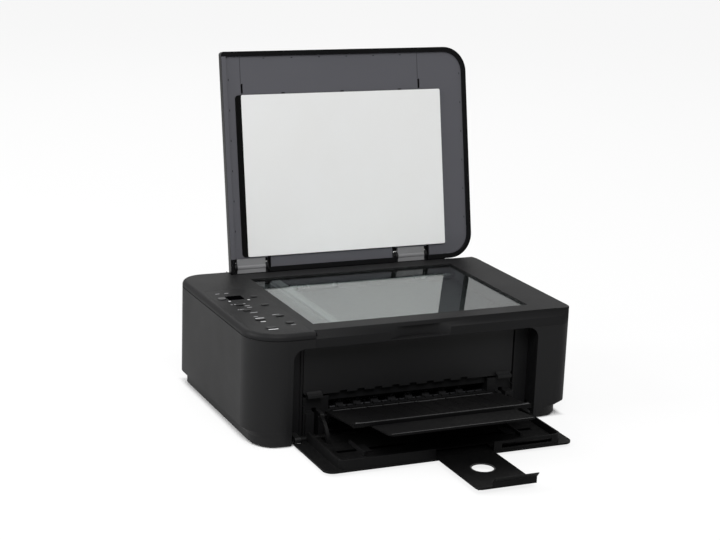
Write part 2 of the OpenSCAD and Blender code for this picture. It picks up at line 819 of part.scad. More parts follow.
module lid_plan(in) {
    plan(lid_x + in, lid_front + in, lid_right - in, lid_rear - in, [4, lid_corner - in, lid_corner - in,
            4]);
}

module lid_shell() {
    color([0.04, 0.04, 0.04]) lid_opened() difference() {
        translate([0, 0, lid_low]) linear_extrude(lid_t) lid_plan(0);
        translate([0, 0, lid_low - 1]) linear_extrude(lid_t - lid_skin + 1) lid_plan(lid_rim);
        for (s = hinge_sites)
            box([s - hinge_half - 1.5, hinge_y - 6.5, lid_low - 1],
                [s + hinge_half + 1.5, half_d + 2, lid_low + lid_t + 1]);
    }
}

module lid_lining() {
    color([0.13, 0.13, 0.14]) lid_opened() difference() {
        translate([0, 0, lining_low]) linear_extrude(lining_t) lid_plan(lid_rim + 0.15);
        for (s = hinge_sites)
            box([s - hinge_half - 5, hinge_y - 26, lid_low - 1],
                [s + hinge_half + 5, half_d, lid_low + lid_t]);
        for (s = [pad_x + 1, pad_x + pad_w - 33])
            box([s, pad_front - 15, lining_low - 1], [s + 3, pad_front - 2, lining_low + lining_t + 1]);
    }
    // ribs between the lining and the shell
    color([0.13, 0.13, 0.14]) lid_opened() for (i = [0 : 4])
        box([lid_x + 40 + i * 66, lid_front + 40, lining_low + lining_t - eps],
            [lid_x + 42 + i * 66, hinge_y - 40, lid_low + lid_t - lid_skin]);
}

module pad_foam() {
    color([0.03, 0.03, 0.03]) lid_opened()
        box([pad_x - foam_margin, pad_front, pad_low + pad_sheet_t],
            [pad_x + pad_w, pad_front + pad_d, lining_low]);
}

module pad_sheet() {
    color([0.95, 0.95, 0.95]) lid_opened()
        box([pad_x, pad_front, pad_low], [pad_x + pad_w, pad_front + pad_d, pad_low + pad_sheet_t]);
}

module hinge_arms() {
    color([0.35, 0.35, 0.37]) lid_opened() for (s = hinge_sites) difference() {
        union() {
            box([s - hinge_half + ear_t + gap, hinge_y - 25, lining_low],
                [s + hinge_half - ear_t - gap, hinge_y, lid_low + lid_t - lid_skin]);
            bar_x(s - hinge_half + ear_t + gap, s + hinge_half - ear_t - gap, hinge_y, hinge_z,
                    knuckle_r);
            // tail behind the pin that fills the lid's rear edge
            box([s - hinge_half + ear_t + gap, hinge_y, hinge_z - 3.2],
                [s + hinge_half - ear_t - gap, lid_rear, lid_low + lid_t]);
        }
        bar_x(s - 40, s + 40, hinge_y, hinge_z, hinge_pin_r + fit);
    }
}

module hinge_brackets() {
    color([0.1, 0.1, 0.1]) for (s = hinge_sites) difference() {
        union() {
            for (e = [-1, 1]) translate([s + e * (hinge_half - ear_t / 2) - ear_t / 2, 0, 0]) {
                box([0, hinge_y - 5, step_h - deck_t - 4], [ear_t, hinge_y + 5, hinge_z]);
                bar_x(0, ear_t, hinge_y, hinge_z, 5);
            }
            box([s - hinge_half - 3, hinge_y - 10, step_h - deck_t - 3.2],
                [s + hinge_half + 3, half_d - wall - gap, step_h - deck_t]);
        }
        bar_x(s - 40, s + 40, hinge_y, hinge_z, hinge_pin_r + fit);
    }
}

module hinge_pins() {
    color([0.7, 0.7, 0.72]) for (s = hinge_sites)
        bar_x(s - hinge_half - 1, s + hinge_half + 1, hinge_y, hinge_z, hinge_pin_r);
}

// ---------- front door ----------

module front_door() {
    color([0.05, 0.05, 0.05]) difference() {
        union() {
            translate([0, 0, door_under]) linear_extrude(door_skin)
                plan(-door_w / 2, door_front, door_w / 2, door_axis_y - 6, [12, 12, 1, 1]);
            // inner walls
            translate([0, 0, door_floor - eps]) linear_extrude(door_wall_top - door_floor + eps)
                difference() {
                plan(-box_half, door_front + 1, box_half, platform_rear, [9, 9, 0.5, 0.5]);
                plan(-box_half + door_wall, door_front + 1 + door_wall, box_half - door_wall,
                        platform_rear + 1, [6.5, 6.5, 0.5, 0.5]);
            }
            both_sides() {
                // hinge barrel and pin
                box([118, door_axis_y - 7, door_under], [ear_x - 0.5, door_axis_y, door_floor]);
                bar_x(118, ear_x - 0.5, door_axis_y, door_axis_h, barrel_r);
                bar_x(ear_x - 1, ear_x + ear_w, door_axis_y, door_axis_h, pin_r);
            }
        }
        // way out of the paper support through the front wall
        box([support_x - support_w / 2 - 1, door_front - 1, door_floor],
            [support_x + support_w / 2 + 1, door_front + 6, door_wall_top + 1]);
        // long slot in the right half of the front wall
        box([support_x + support_w / 2 + 12, door_front, door_floor + 3],
            [box_half - 14, door_front + 5, door_wall_top - 3.5]);
        both_sides() box([ear_x - 0.5, door_axis_y - 8, 0], [half_w, door_axis_y - 4.6, skirt_h]);
    }
}

// Floor of the tray inside the door, over the racks and the paper support
module tray_platform() {
    color([0.05, 0.05, 0.05]) difference() {
        union() {
            box([-box_half + door_wall + gap, door_front + 9, platform_low],
                [box_half - door_wall - gap, platform_rear, platform_top]);
            both_sides() {
                box([box_half - door_wall - 12, door_front + 9, door_floor],
                    [box_half - door_wall - 10, platform_rear, platform_low + eps]);
                box([60, door_front + 9, door_floor], [62, guide_y - 16, platform_low + eps]);
                box([60, guide_y + 16, door_floor], [62, platform_rear, platform_low + eps]);
            }
        }
        both_sides()
            box([40, guide_y - 4, platform_low - 1],
                [box_half - door_wall - 14, guide_y + 4, platform_top + 1]);
        both_sides()
            box([stay_in - gap, door_axis_y - stay_r1 - 1, door_floor],
                [stay_in + stay_w + gap, platform_rear + 1, platform_top + 1]);
        // room for the paper support's lip when it is pushed in
        box([support_x - support_w / 2 - 1, door_front, door_floor],
            [support_x + support_w / 2 + 1, door_front + 20.5, platform_top + 1]);
        translate([0, guide_y, 0]) cylinder(h = 20, r = pinion_hub_r + fit);
    }
}

// Side view of a stay: an arc about the door's hinge with its foot on the door
module stay_outline() {
    intersection() {
        difference() {
            circle(stay_r1);
            circle(stay_r0);
        }
        rotate(95) square([2 * stay_r1, 2 * stay_r1]);
        translate([-2 * stay_r1, 0]) square([2 * stay_r1, 2 * stay_r1]);
    }
    translate([-stay_r1 - 0.6, door_floor - door_axis_h]) square([stay_r1 - stay_r0 + 1.2, 5]);
}

module door_stays() {
    color([0.12, 0.12, 0.12]) both_sides()
        translate([stay_in, door_axis_y, door_axis_h]) rotate([90, 0, 90]) linear_extrude(stay_w)
            stay_outline();
}

module paper_support() {
    x0 = support_x - support_w / 2;
    x1 = support_x + support_w / 2;
    front = support_tip + lip_out;
    color([0.05, 0.05, 0.05]) difference() {
        union() {
            translate([0, 0, support_low]) linear_extrude(support_t)
                plan(x0, front, x1, support_inner, [7, 3, 1, 1]);
            // rim that rises along most of the front edge and leans outward at its top
            translate([x0 + 20, front, support_low]) rotate([90, 0, 90]) linear_extrude(support_w - 20)
                polygon([[0, 0], [lip_t + 1.5, support_t], [lip_t, support_t + 1.5],
                         [lip_t, lip_rim], [-lip_out + lip_t, lip_up], [-lip_out, lip_up], [0, lip_rim]]);
            box([x0 + 1, front + 1, support_low - eps], [x1 - 1, front + 4, support_low + support_t + 1]);
        }
        translate([support_x - 0.4, front + 60.5, 0]) cylinder(h = 20, r = support_hole / 2);
    }
}

// Upright paper guide on its rack arm; side is -1 on the left and 1 on the right
module paper_guide(side) {
    x = side * paper_w / 2;
    out = side > 0 ? 0 : -2;
    color([0.15, 0.15, 0.15]) {
        box([x + out, guide_y - guide_len / 2, platform_top + gap],
            [x + out + 2, guide_y + guide_len / 2, guide_wall_top]);
        box([min(x, x - side * 14), guide_y - 12, platform_top + gap],
            [max(x, x - side * 14), guide_y + 12, platform_top + gap + 1]);
        box([min(x, x - side * 5), guide_y - 3, rack_low],
            [max(x, x - side * 5), guide_y + 3, platform_top + gap + eps]);
        rack_arm(side, x);
    }
}

// Toothed arm that runs under the platform past the pinion
module rack_arm(side, x) {
    pitch = PI * pinion_module;
    reach = abs(x) + rack_past;
    y0 = guide_y + side * (pinion_r + 1.15 * pinion_module);
    teeth = floor((reach - 12) / pitch);
    translate([0, 0, rack_low]) linear_extrude(rack_h) union() {
        translate([min(x, -side * rack_past), min(y0, y0 + side * 3)]) square([reach, 3]);
        for (i = [-2 : teeth - 3]) translate([side * (i + 0.5) * pitch, y0])
            polygon([[-0.36 * pitch, side * eps], [-0.23 * pitch, -side * 1.15 * pinion_module],
                     [-0.11 * pitch, -side * 2.05 * pinion_module], [0.11 * pitch,
                             -side * 2.05 * pinion_module],
                     [0.23 * pitch, -side * 1.15 * pinion_module], [0.36 * pitch, side * eps]]);
        translate([min(x, x - side * 5), min(guide_y - 3, y0)]) square([5, abs(y0 - guide_y) + 3]);
    }
}

module left_paper_guide() { paper_guide(-1); }
module right_paper_guide() { paper_guide(1); }

// Pinion between the two racks, hung from the platform by its head
module guide_pinion() {
    color([0.6, 0.6, 0.6]) translate([0, guide_y, 0]) {
        translate([0, 0, rack_low]) linear_extrude(rack_h) rotate(90)
            gear_outline(pinion_teeth, pinion_module);
        translate([0, 0, rack_low]) cylinder(h = platform_top + gap - rack_low + eps, r = pinion_hub_r);
        translate([0, 0, platform_top + gap]) cylinder(h = 0.7, r = pinion_hub_r + 1.2);
    }
}

// ---------- output tray ----------

module output_tray() {
    rear_half = slot_w / 2 - 1;
    color([0.05, 0.05, 0.05]) on_tray() {
        difference() {
            union() {
                translate([0, 0, tray_top - tray_t]) linear_extrude(tray_t)
                    polygon([[-rear_half, tray_rear], [rear_half, tray_rear], [tray_w / 2, -12],
                            [tray_w / 2, -tray_len],
                             [-tray_w / 2, -tray_len], [-tray_w / 2, -12]]);
                both_sides() {
                    // corner block beside the extension
                    box([extension_w / 2 + 9, -tray_len, tray_top - tray_t - 1],
                        [tray_w / 2, -tray_len + 7, tray_top + 1.6]);
                    // pivot ear and pin
                    box([tray_ear_in, -5, -3], [tray_ear_in + tray_ear_t, 3, tray_top - 1]);
                    bar_x(tray_ear_in + tray_ear_t - eps, cheek_in + 4.6, 0, 0, tray_pin_r);
                    // runner that holds the extension
                    box([extension_w / 2 + gap, -tray_len + 12, extension_top - extension_t - 1.6],
                        [extension_w / 2 + 2.5, -16, tray_top - 1]);
                    box([extension_w / 2 - 3, -tray_len + 12, extension_top - extension_t - 1.6],
                        [extension_w / 2 + 1, -16, extension_top - extension_t - gap]);
                }
                // ridge along the front edge and the fine ribs that carry the sheet
                box([-extension_w / 2 - 9, -tray_len, tray_top - 1],
                    [extension_w / 2 + 9, -tray_len + 2, tray_top + 0.9]);
                for (i = [-4 : 4])
                    box([i * 22 - 0.7, -tray_len + 1, tray_top - 1],
                        [i * 22 + 0.7, tray_rear - 1, tray_top + 0.6]);
                // raised tab behind the middle
                box([6, -8, tray_top - 1], [27, -3, tray_top + 1.1]);
            }
        }
    }
}

module tray_extension() {
    color([0.05, 0.05, 0.05]) on_tray() {
        translate([0, 0, extension_top - extension_t]) linear_extrude(extension_t)
            plan(-extension_w / 2, -extension_reach, extension_w / 2, -extension_reach + extension_len,
                    [5, 5, 1, 1]);
        box([-extension_w / 2 + 4, -extension_reach + 0.6, extension_top - extension_t - 1],
            [extension_w / 2 - 4, -extension_reach + 3, extension_top]);
    }
}

// ---------- print mechanism ----------

function exit_x(i) = (i - (exit_rollers - 1) / 2) * exit_pitch - 7.3;

// Sheet-metal side frames that carry the shafts, the rail and the feed motor
module chassis() {
    color([0.6, 0.62, 0.64]) {
        difference() {
            union() {
                box([-frame_x - frame_t, cheek_back + 1, tub_floor + 4],
                    [-frame_x, rail_y + 6, flange_z - 1]);
                box([frame_x, cheek_back + 1, tub_floor + 4],
                    [frame_x + frame_t, rail_y + 6, carriage_low - 2]);
                difference() {
                    box([frame_right - frame_t, cheek_back + 1, tub_floor + 4],
                        [frame_right, rail_y + 6, flange_z - 1]);
                    box([frame_right - frame_t - 1, cheek_back, 0],
                        [frame_right + 1, -boss_y + boss_r + 2, boss_high + 2]);
                }
                box([-frame_x - frame_t, rail_y + 4, tub_floor + 4], [frame_right, rail_y + 6, 30]);
                for (x = [-frame_x - 10, frame_x - 10, frame_right - 12])
                    box([x, -70, tub_floor], [x + 12, -40, tub_floor + 4 + eps]);
                // bracket of the feed motor
                box([motor_x - frame_t, motor_y - 14, motor_z - 14], [motor_x, rail_y + 8, motor_z + 14]);
                box([motor_x - frame_t, rail_y + 6, motor_z - 14], [-frame_x, rail_y + 8, motor_z + 14]);
                box([-frame_x - frame_t, rail_y + 6 - eps, motor_z - 14],
                    [-frame_x, rail_y + 8, motor_z + 14]);
                // stud of the idler gear
                bar_x(gear_x - gear_t - 1, -frame_x - frame_t + eps, idler_y, idler_z, idler_stud_r);
            }
            for (x = [-frame_x - frame_t - 1, frame_x - 1])
                bar_x(x, x + frame_t + 2, feed_y, feed_h, feed_shaft_r + fit);
            bar_x(-frame_x - frame_t - 1, -frame_x + 1, exit_y, exit_h, exit_shaft_r + fit);
            bar_x(motor_x - frame_t - 1, motor_x + 1, motor_y, motor_z, 4 + fit);
        }
    }
}

// Folded rail that the cartridge carriage hangs on, with the idler pulley's stud
module carriage_rail() {
    color([0.65, 0.66, 0.68]) {
        difference() {
            translate([-frame_x - frame_t, 0, 0]) rotate([90, 0, 90])
                linear_extrude(frame_right + frame_x + frame_t)
                polygon([[rail_y, rail_low], [rail_y + rail_t, rail_low], [rail_y + rail_t,
                        flange_z + rail_t],
                         [rail_y - 8, flange_z + rail_t], [rail_y - 8, flange_z], [rail_y, flange_z]]);
            for (x = [-frame_x - frame_t, frame_right - frame_t])
                box([x - 1, rail_y - 1, rail_low - 1], [x + frame_t + gap, rail_y + 3, flange_z - 1]);
            translate([pulley_x1, rail_y + 3, belt_z]) rotate([90, 0, 0]) cylinder(h = 6, r = 4 + fit);
        }
        translate([pulley_x0, rail_y + eps, belt_z]) rotate([90, 0, 0])
            cylinder(h = belt_w + 4, r = stud_r);
        translate([pulley_x0, rail_y - belt_w - 4 + eps, belt_z]) rotate([90, 0, 0])
            cylinder(h = 1, r = stud_r + 1.2);
    }
}

module cartridge_carriage() {
    x1 = carriage_x;
    x0 = x1 - carriage_w;
    mid = (x0 + x1) / 2;
    color([0.1, 0.1, 0.1]) difference() {
        union() {
            box([x0, carriage_front, carriage_low], [x1, carriage_rear, carriage_top - 6]);
            // hook over the rail's flange
            box([x0 + 6, carriage_rear - 4, carriage_top - 8],
                [x1 - 6, rail_y - 8 - gap, flange_z + rail_t + 2.5]);
            box([x0 + 6, rail_y - 8 - gap - eps, flange_z + rail_t + gap],
                [x1 - 6, rail_y - 1, flange_z + rail_t + 2.5]);
            // runner against the rail and the clip that grips the belt
            box([x0 + 10, carriage_rear - eps, rail_low + 1], [x1 - 10, rail_y - gap, rail_low + 10]);
            box([mid - 6, carriage_rear - eps, belt_z - pulley_r - 3.4],
                [mid + 6, belt_y + belt_w / 2 + 0.6, belt_z - pulley_r + 1.4]);
        }
        box([mid - 7, belt_y - belt_w / 2 - gap, belt_z - pulley_r - belt_in - belt_t - gap],
            [mid + 7, rail_y, belt_z - pulley_r - belt_in + gap]);
        for (i = [0, 1]) box([x0 + 2 + i * (carriage_w / 2 - 1), carriage_front + 3, carriage_low + 3],
                             [x0 + carriage_w / 2 - 1 + i * (carriage_w / 2 - 1), carriage_rear - 3,
                                     carriage_top + 8]);
    }
}

// Ink cartridge with its grip; i picks the left or right pocket
module cartridge(i) {
    x0 = carriage_x - carriage_w + 2 + i * (carriage_w / 2 - 1) + gap;
    x1 = x0 + carriage_w / 2 - 3 - 2 * gap;
    difference() {
        union() {
            box([x0, carriage_front + 3 + gap, carriage_low + 3],
                [x1, carriage_rear - 3 - gap - 2, carriage_top - 4]);
            box([x0 + 4, carriage_front + 6, carriage_top - 4 - eps],
                [x1 - 4, carriage_front + 22, carriage_top]);
        }
        box([x0 + 3, carriage_front + 9, carriage_top - 2],
            [x1 - 3, carriage_front + 12, carriage_top + 1]);
    }
}

module black_cartridge() { color([0.12, 0.12, 0.13]) cartridge(1); }
module color_cartridge() { color([0.25, 0.25, 0.27]) cartridge(0); }

// Toothed belt round the motor pulley and the idler
module carriage_belt() {
    color([0.05, 0.05, 0.05]) translate([0, belt_y + belt_w / 2, belt_z]) rotate([90, 0, 0])
        linear_extrude(belt_w)
        difference() {
            belt_loop(pulley_r + belt_in + belt_t);
            belt_loop(pulley_r + belt_in);
        }
}

module belt_loop(r) {
    translate([pulley_x0, 0]) circle(r);
    translate([pulley_x1, 0]) circle(r);
    translate([pulley_x0, -r]) square([pulley_x1 - pulley_x0, 2 * r]);
}

// Motor behind the rail, its nose in the rail's hole
module carriage_motor() {
    color([0.5, 0.5, 0.52]) translate([pulley_x1, rail_y + rail_t, belt_z]) rotate([-90, 0, 0])
        difference() {
        union() {
            cylinder(h = motor_len, r = motor_r);
            translate([0, 0, -rail_t]) cylinder(h = rail_t + eps, r = 4);
            translate([0, 0, motor_len - eps]) cylinder(h = 3, r = 4);
        }
        translate([0, 0, -rail_t - 1]) cylinder(h = 20, r = pulley_bore + fit);
    }
}

module motor_pulley() {
    color([0.75, 0.6, 0.3]) translate([pulley_x1, belt_y, belt_z]) rotate([-90, 0, 0]) {
        translate([0, 0, -belt_w / 2 - 0.8]) cylinder(h = belt_w + 1.6, r = pulley_r);
        translate([0, 0, -belt_w / 2 - 1]) cylinder(h = 22, r = pulley_bore);
    }
}

module idler_pulley() {
    color([0.7, 0.7, 0.7]) translate([pulley_x0, belt_y, belt_z]) rotate([90, 0, 0]) difference() {
        translate([0, 0, -belt_w / 2 - 0.5]) cylinder(h = belt_w + 1, r = pulley_r);
        translate([0, 0, -10]) cylinder(h = 20, r = stud_r + fit);
    }
}

module exit_shaft() {
    color([0.7, 0.7, 0.72]) bar_x(gear_x - gear_t - 0.3, cover_w / 2 + 3, exit_y, exit_h, exit_shaft_r);
}

module exit_rubbers() {
    color([0.4, 0.4, 0.4]) for (i = [0 : exit_rollers - 1]) difference() {
        bar_x(exit_x(i) - 5, exit_x(i) + 5, exit_y, exit_h, exit_r);
        bar_x(exit_x(i) - 6, exit_x(i) + 6, exit_y, exit_h, exit_shaft_r);
    }
}

star_r = 5;
star_z = exit_h + exit_r + star_r + 0.3;
star_axle_r = 0.75;

// Bar over the output rollers with a pair of lugs for each star wheel
module star_wheel_bar() {
    color([0.06, 0.06, 0.06]) difference() {
        union() {
            box([-slot_w / 2 + 1, exit_y - 9, star_z + 2.4],
                [slot_w / 2 - 1, exit_y + 12, cover_low + 4]);
            both_sides()
                box([slot_w / 2 - 12, exit_y + 4, cover_low - 3],
                    [slot_w / 2 + 8, exit_y + 12, cover_low + 4]);
            for (i = [0 : exit_rollers - 1], e = [-5.4, 3.4])
                box([exit_x(i) + e, exit_y - 2.5, star_z - 1.8],
                    [exit_x(i) + e + 2, exit_y + 2.5, star_z + 3]);
        }
        for (i = [0 : exit_rollers - 1]) {
            box([exit_x(i) - 3.4, exit_y - 7, star_z - 10], [exit_x(i) + 3.4, exit_y + 7, cover_low + 2]);
            bar_x(exit_x(i) - 5.5, exit_x(i) + 5.5, exit_y, star_z, star_axle_r + fit);
        }
    }
}

module star_wheels() {
    color([0.7, 0.7, 0.72]) for (i = [0 : exit_rollers - 1]) translate([exit_x(i), exit_y, star_z])
        rotate([0, 90, 0]) {
        for (t = [-1.5, 0.9]) translate([0, 0, t]) linear_extrude(0.6)
            polygon([for (j = [0 : 23]) (j % 2 == 0 ? star_r : star_r - 1.2) * [cos(j * 15),
                    sin(j * 15)]]);
        translate([0, 0, -2.8]) cylinder(h = 5.6, r = 2);
        translate([0, 0, -5.2]) cylinder(h = 10.4, r = star_axle_r);
    }
}

module feed_shaft() {
    color([0.55, 0.55, 0.57]) {
        bar_x(gear_x - gear_t - 0.3, frame_x + 6, feed_y, feed_h, feed_shaft_r);
        bar_x(-slot_w / 2 + 2, slot_w / 2 - 2, feed_y, feed_h, feed_r);
    }
}

// Gear train on the left side frame: motor, feed shaft, idler, output shaft
feed_pitch_r = feed_teeth * gear_module / 2;
exit_pitch_r = exit_teeth * gear_module / 2;
idler_pitch_r = idler_teeth * gear_module / 2;
motor_pitch_r = motor_teeth * gear_module / 2;
span = norm([feed_y - exit_y, feed_h - exit_h]);
lean = atan2(exit_h - feed_h, exit_y - feed_y);
leg_a = feed_pitch_r + idler_pitch_r;
leg_b = exit_pitch_r + idler_pitch_r;
along = (leg_a * leg_a - leg_b * leg_b + span * span) / (2 * span);
aside = sqrt(max(leg_a * leg_a - along * along, 0.01));
idler_y = feed_y + along * cos(lean) + aside * sin(lean);
idler_z = feed_h + along * sin(lean) - aside * cos(lean);
to_idler = atan2(idler_z - feed_h, idler_y - feed_y);
to_exit = atan2(exit_h - idler_z, exit_y - idler_y);
motor_angle = 60;
motor_y = feed_y + (feed_pitch_r + motor_pitch_r) * cos(motor_angle);
motor_z = feed_h + (feed_pitch_r + motor_pitch_r) * sin(motor_angle);
motor_x = gear_x - gear_t - 1;
idler_stud_r = 2;
feed_motor_r = 12;

// Share of a pitch by which a gear's tooth stands past a direction
function tooth_past(teeth, angle, direction) = let (f = (angle - direction) * teeth / 360) f - floor(f);
// Angle of a gear whose gap meets its neighbour's tooth
function mesh_angle(teeth, direction, past) = direction + 180 + (0.5 - past) * 360 / teeth;

idler_angle = mesh_angle(idler_teeth, to_idler, tooth_past(feed_teeth, 0, to_idler));
exit_angle = mesh_angle(exit_teeth, to_exit, tooth_past(idler_teeth, idler_angle, to_exit));
motor_tooth = mesh_angle(motor_teeth, motor_angle, tooth_past(feed_teeth, 0, motor_angle));

module feed_gear() {
    color([0.8, 0.8, 0.78])
        gear_x_axis(feed_teeth, gear_module, gear_x - gear_t, feed_y, feed_h, gear_t, feed_shaft_r, 0);
}

module exit_gear() {
    color([0.8, 0.8, 0.78])
        gear_x_axis(exit_teeth, gear_module, gear_x - gear_t, exit_y, exit_h, gear_t, exit_shaft_r,
                exit_angle);
}

module idler_gear() {
    color([0.8, 0.8, 0.78])
        gear_x_axis(idler_teeth, gear_module, gear_x - gear_t, idler_y, idler_z, gear_t,
                idler_stud_r + fit, idler_angle);
}

module feed_motor() {
    color([0.5, 0.5, 0.52]) difference() {
        union() {
            bar_x(motor_x - frame_t - 26, motor_x - frame_t, motor_y, motor_z, feed_motor_r);
            bar_x(motor_x - frame_t - eps, motor_x, motor_y, motor_z, 4);
        }
        bar_x(motor_x - 14, motor_x + 1, motor_y, motor_z, pulley_bore + fit);
    }
}

module motor_pinion() {
    color([0.75, 0.6, 0.3]) {
        gear_x_axis(motor_teeth, gear_module, gear_x - gear_t, motor_y, motor_z, gear_t,
                pulley_bore - 0.1, motor_tooth);
        bar_x(motor_x - 13, gear_x - 0.2, motor_y, motor_z, pulley_bore);
    }
}

module power_supply() {
    color([0.15, 0.15, 0.16]) difference() {
        box([inlet_x - 40, 40, tub_floor], [inlet_x + 44, half_d - 22, tub_floor + 34]);
        for (i = [0 : 5])
            box([inlet_x - 30 + i * 12, 39, tub_floor + 8], [inlet_x - 26 + i * 12, 42, tub_floor + 28]);
    }
}

// Main circuit board on its posts, with the data socket at the rear window
module main_board() {
    color([0.1, 0.35, 0.2]) {
        box([60, 40, usb_z - 2.6], [170, half_d - 14, usb_z - 1]);
        for (x = [66, 164], y = [46, half_d - 20]) translate([x, y, tub_floor])
            cylinder(h = usb_z - 2.6 - tub_floor + eps, r = 3);
        box([90, 60, usb_z - 1 - eps], [112, 82, usb_z + 1.4]);
        difference() {
            union() {
                box([usb_x - usb_w / 2, half_d - 18, usb_z],
                    [usb_x + usb_w / 2, half_d - 0.5, usb_z + usb_h]);
                box([usb_x - usb_w / 2, half_d - 18, usb_z - 1 - eps],
                    [usb_x + usb_w / 2, half_d - 5, usb_z + eps]);
            }
            box([usb_x - usb_w / 2 + 0.8, half_d - 12, usb_z + 0.8],
                [usb_x + usb_w / 2 - 0.8, half_d, usb_z + usb_h - 0.8]);
        }
        box([usb_x - 3, half_d - 12.5, usb_z + 3.5], [usb_x + 3, half_d - 3, usb_z + usb_h - 3.5]);
    }
}

base_tub();
rubber_feet();
main_casing();
bay_frame();
inner_cover();
casing_screws();
power_inlet();
top_cover();
platen_glass();
scanner_pan();
scan_carriage();
scan_guide_rod();
control_panel();
panel_board();
power_button();
wireless_button();
copies_button();
paper_button();
fit_button();
stop_button();
scan_button();
black_button();
color_button();
lid_shell();
lid_lining();
pad_foam();
pad_sheet();
hinge_arms();
hinge_brackets();
hinge_pins();
front_door();
tray_platform();
door_stays();
paper_support();
left_paper_guide();
right_paper_guide();
guide_pinion();
output_tray();
tray_extension();
chassis();
carriage_rail();
cartridge_carriage();
black_cartridge();
color_cartridge();
carriage_belt();
carriage_motor();
motor_pulley();
idler_pulley();
exit_shaft();
exit_rubbers();
star_wheel_bar();
star_wheels();
feed_shaft();
feed_gear();
exit_gear();
idler_gear();
feed_motor();
motor_pinion();
power_supply();
main_board();
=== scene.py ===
"""All-in-one inkjet printer, lid and trays open: finishes, soft pad, small details, light and camera."""

import json
import logging
import math
from dataclasses import dataclass
from enum import Enum

import bmesh
import bpy
from bmesh.types import BMesh
from bpy.types import Material, Mesh, Node, NodeSocket, NodeTree, Object
from mathutils import Matrix, Vector
from mathutils.bvhtree import BVHTree

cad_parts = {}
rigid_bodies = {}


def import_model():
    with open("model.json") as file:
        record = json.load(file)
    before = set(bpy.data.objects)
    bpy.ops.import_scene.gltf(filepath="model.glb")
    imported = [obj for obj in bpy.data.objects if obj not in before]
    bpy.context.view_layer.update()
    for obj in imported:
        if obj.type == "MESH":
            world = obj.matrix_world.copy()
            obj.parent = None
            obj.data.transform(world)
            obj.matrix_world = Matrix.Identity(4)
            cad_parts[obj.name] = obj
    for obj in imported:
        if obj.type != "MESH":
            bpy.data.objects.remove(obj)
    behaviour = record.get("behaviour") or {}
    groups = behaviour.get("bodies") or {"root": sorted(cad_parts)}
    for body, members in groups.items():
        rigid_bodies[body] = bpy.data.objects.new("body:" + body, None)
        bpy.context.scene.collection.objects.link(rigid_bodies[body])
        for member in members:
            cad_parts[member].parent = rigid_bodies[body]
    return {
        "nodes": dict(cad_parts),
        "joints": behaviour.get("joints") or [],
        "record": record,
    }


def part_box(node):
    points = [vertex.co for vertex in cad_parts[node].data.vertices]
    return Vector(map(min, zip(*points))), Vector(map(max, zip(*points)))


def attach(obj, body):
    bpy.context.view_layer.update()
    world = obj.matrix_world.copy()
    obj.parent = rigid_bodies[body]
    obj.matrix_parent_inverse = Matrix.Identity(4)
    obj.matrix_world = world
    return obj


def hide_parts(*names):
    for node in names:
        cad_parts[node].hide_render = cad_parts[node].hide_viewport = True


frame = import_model()

logging.basicConfig(level=logging.INFO, format="%(message)s")
log = logging.getLogger("printer")

MM = 0.001
Triple = tuple[float, float, float]
Colour = Triple
Pair = tuple[float, float]
Outline = list[Pair]
Path = list[tuple[Vector, Vector]]
Box = tuple[Vector, Vector]
Sockets = bpy.types.bpy_prop_collection


# ---------------------------------------------------------------- node helpers

class Socket(Enum):
    """Kinds of socket that a node group's interface can have."""

    VALUE = "NodeSocketFloat"
    NORMAL = "NodeSocketVector"
    GEOMETRY = "NodeSocketGeometry"
    COUNT = "NodeSocketInt"
    MATERIAL = "NodeSocketMaterial"


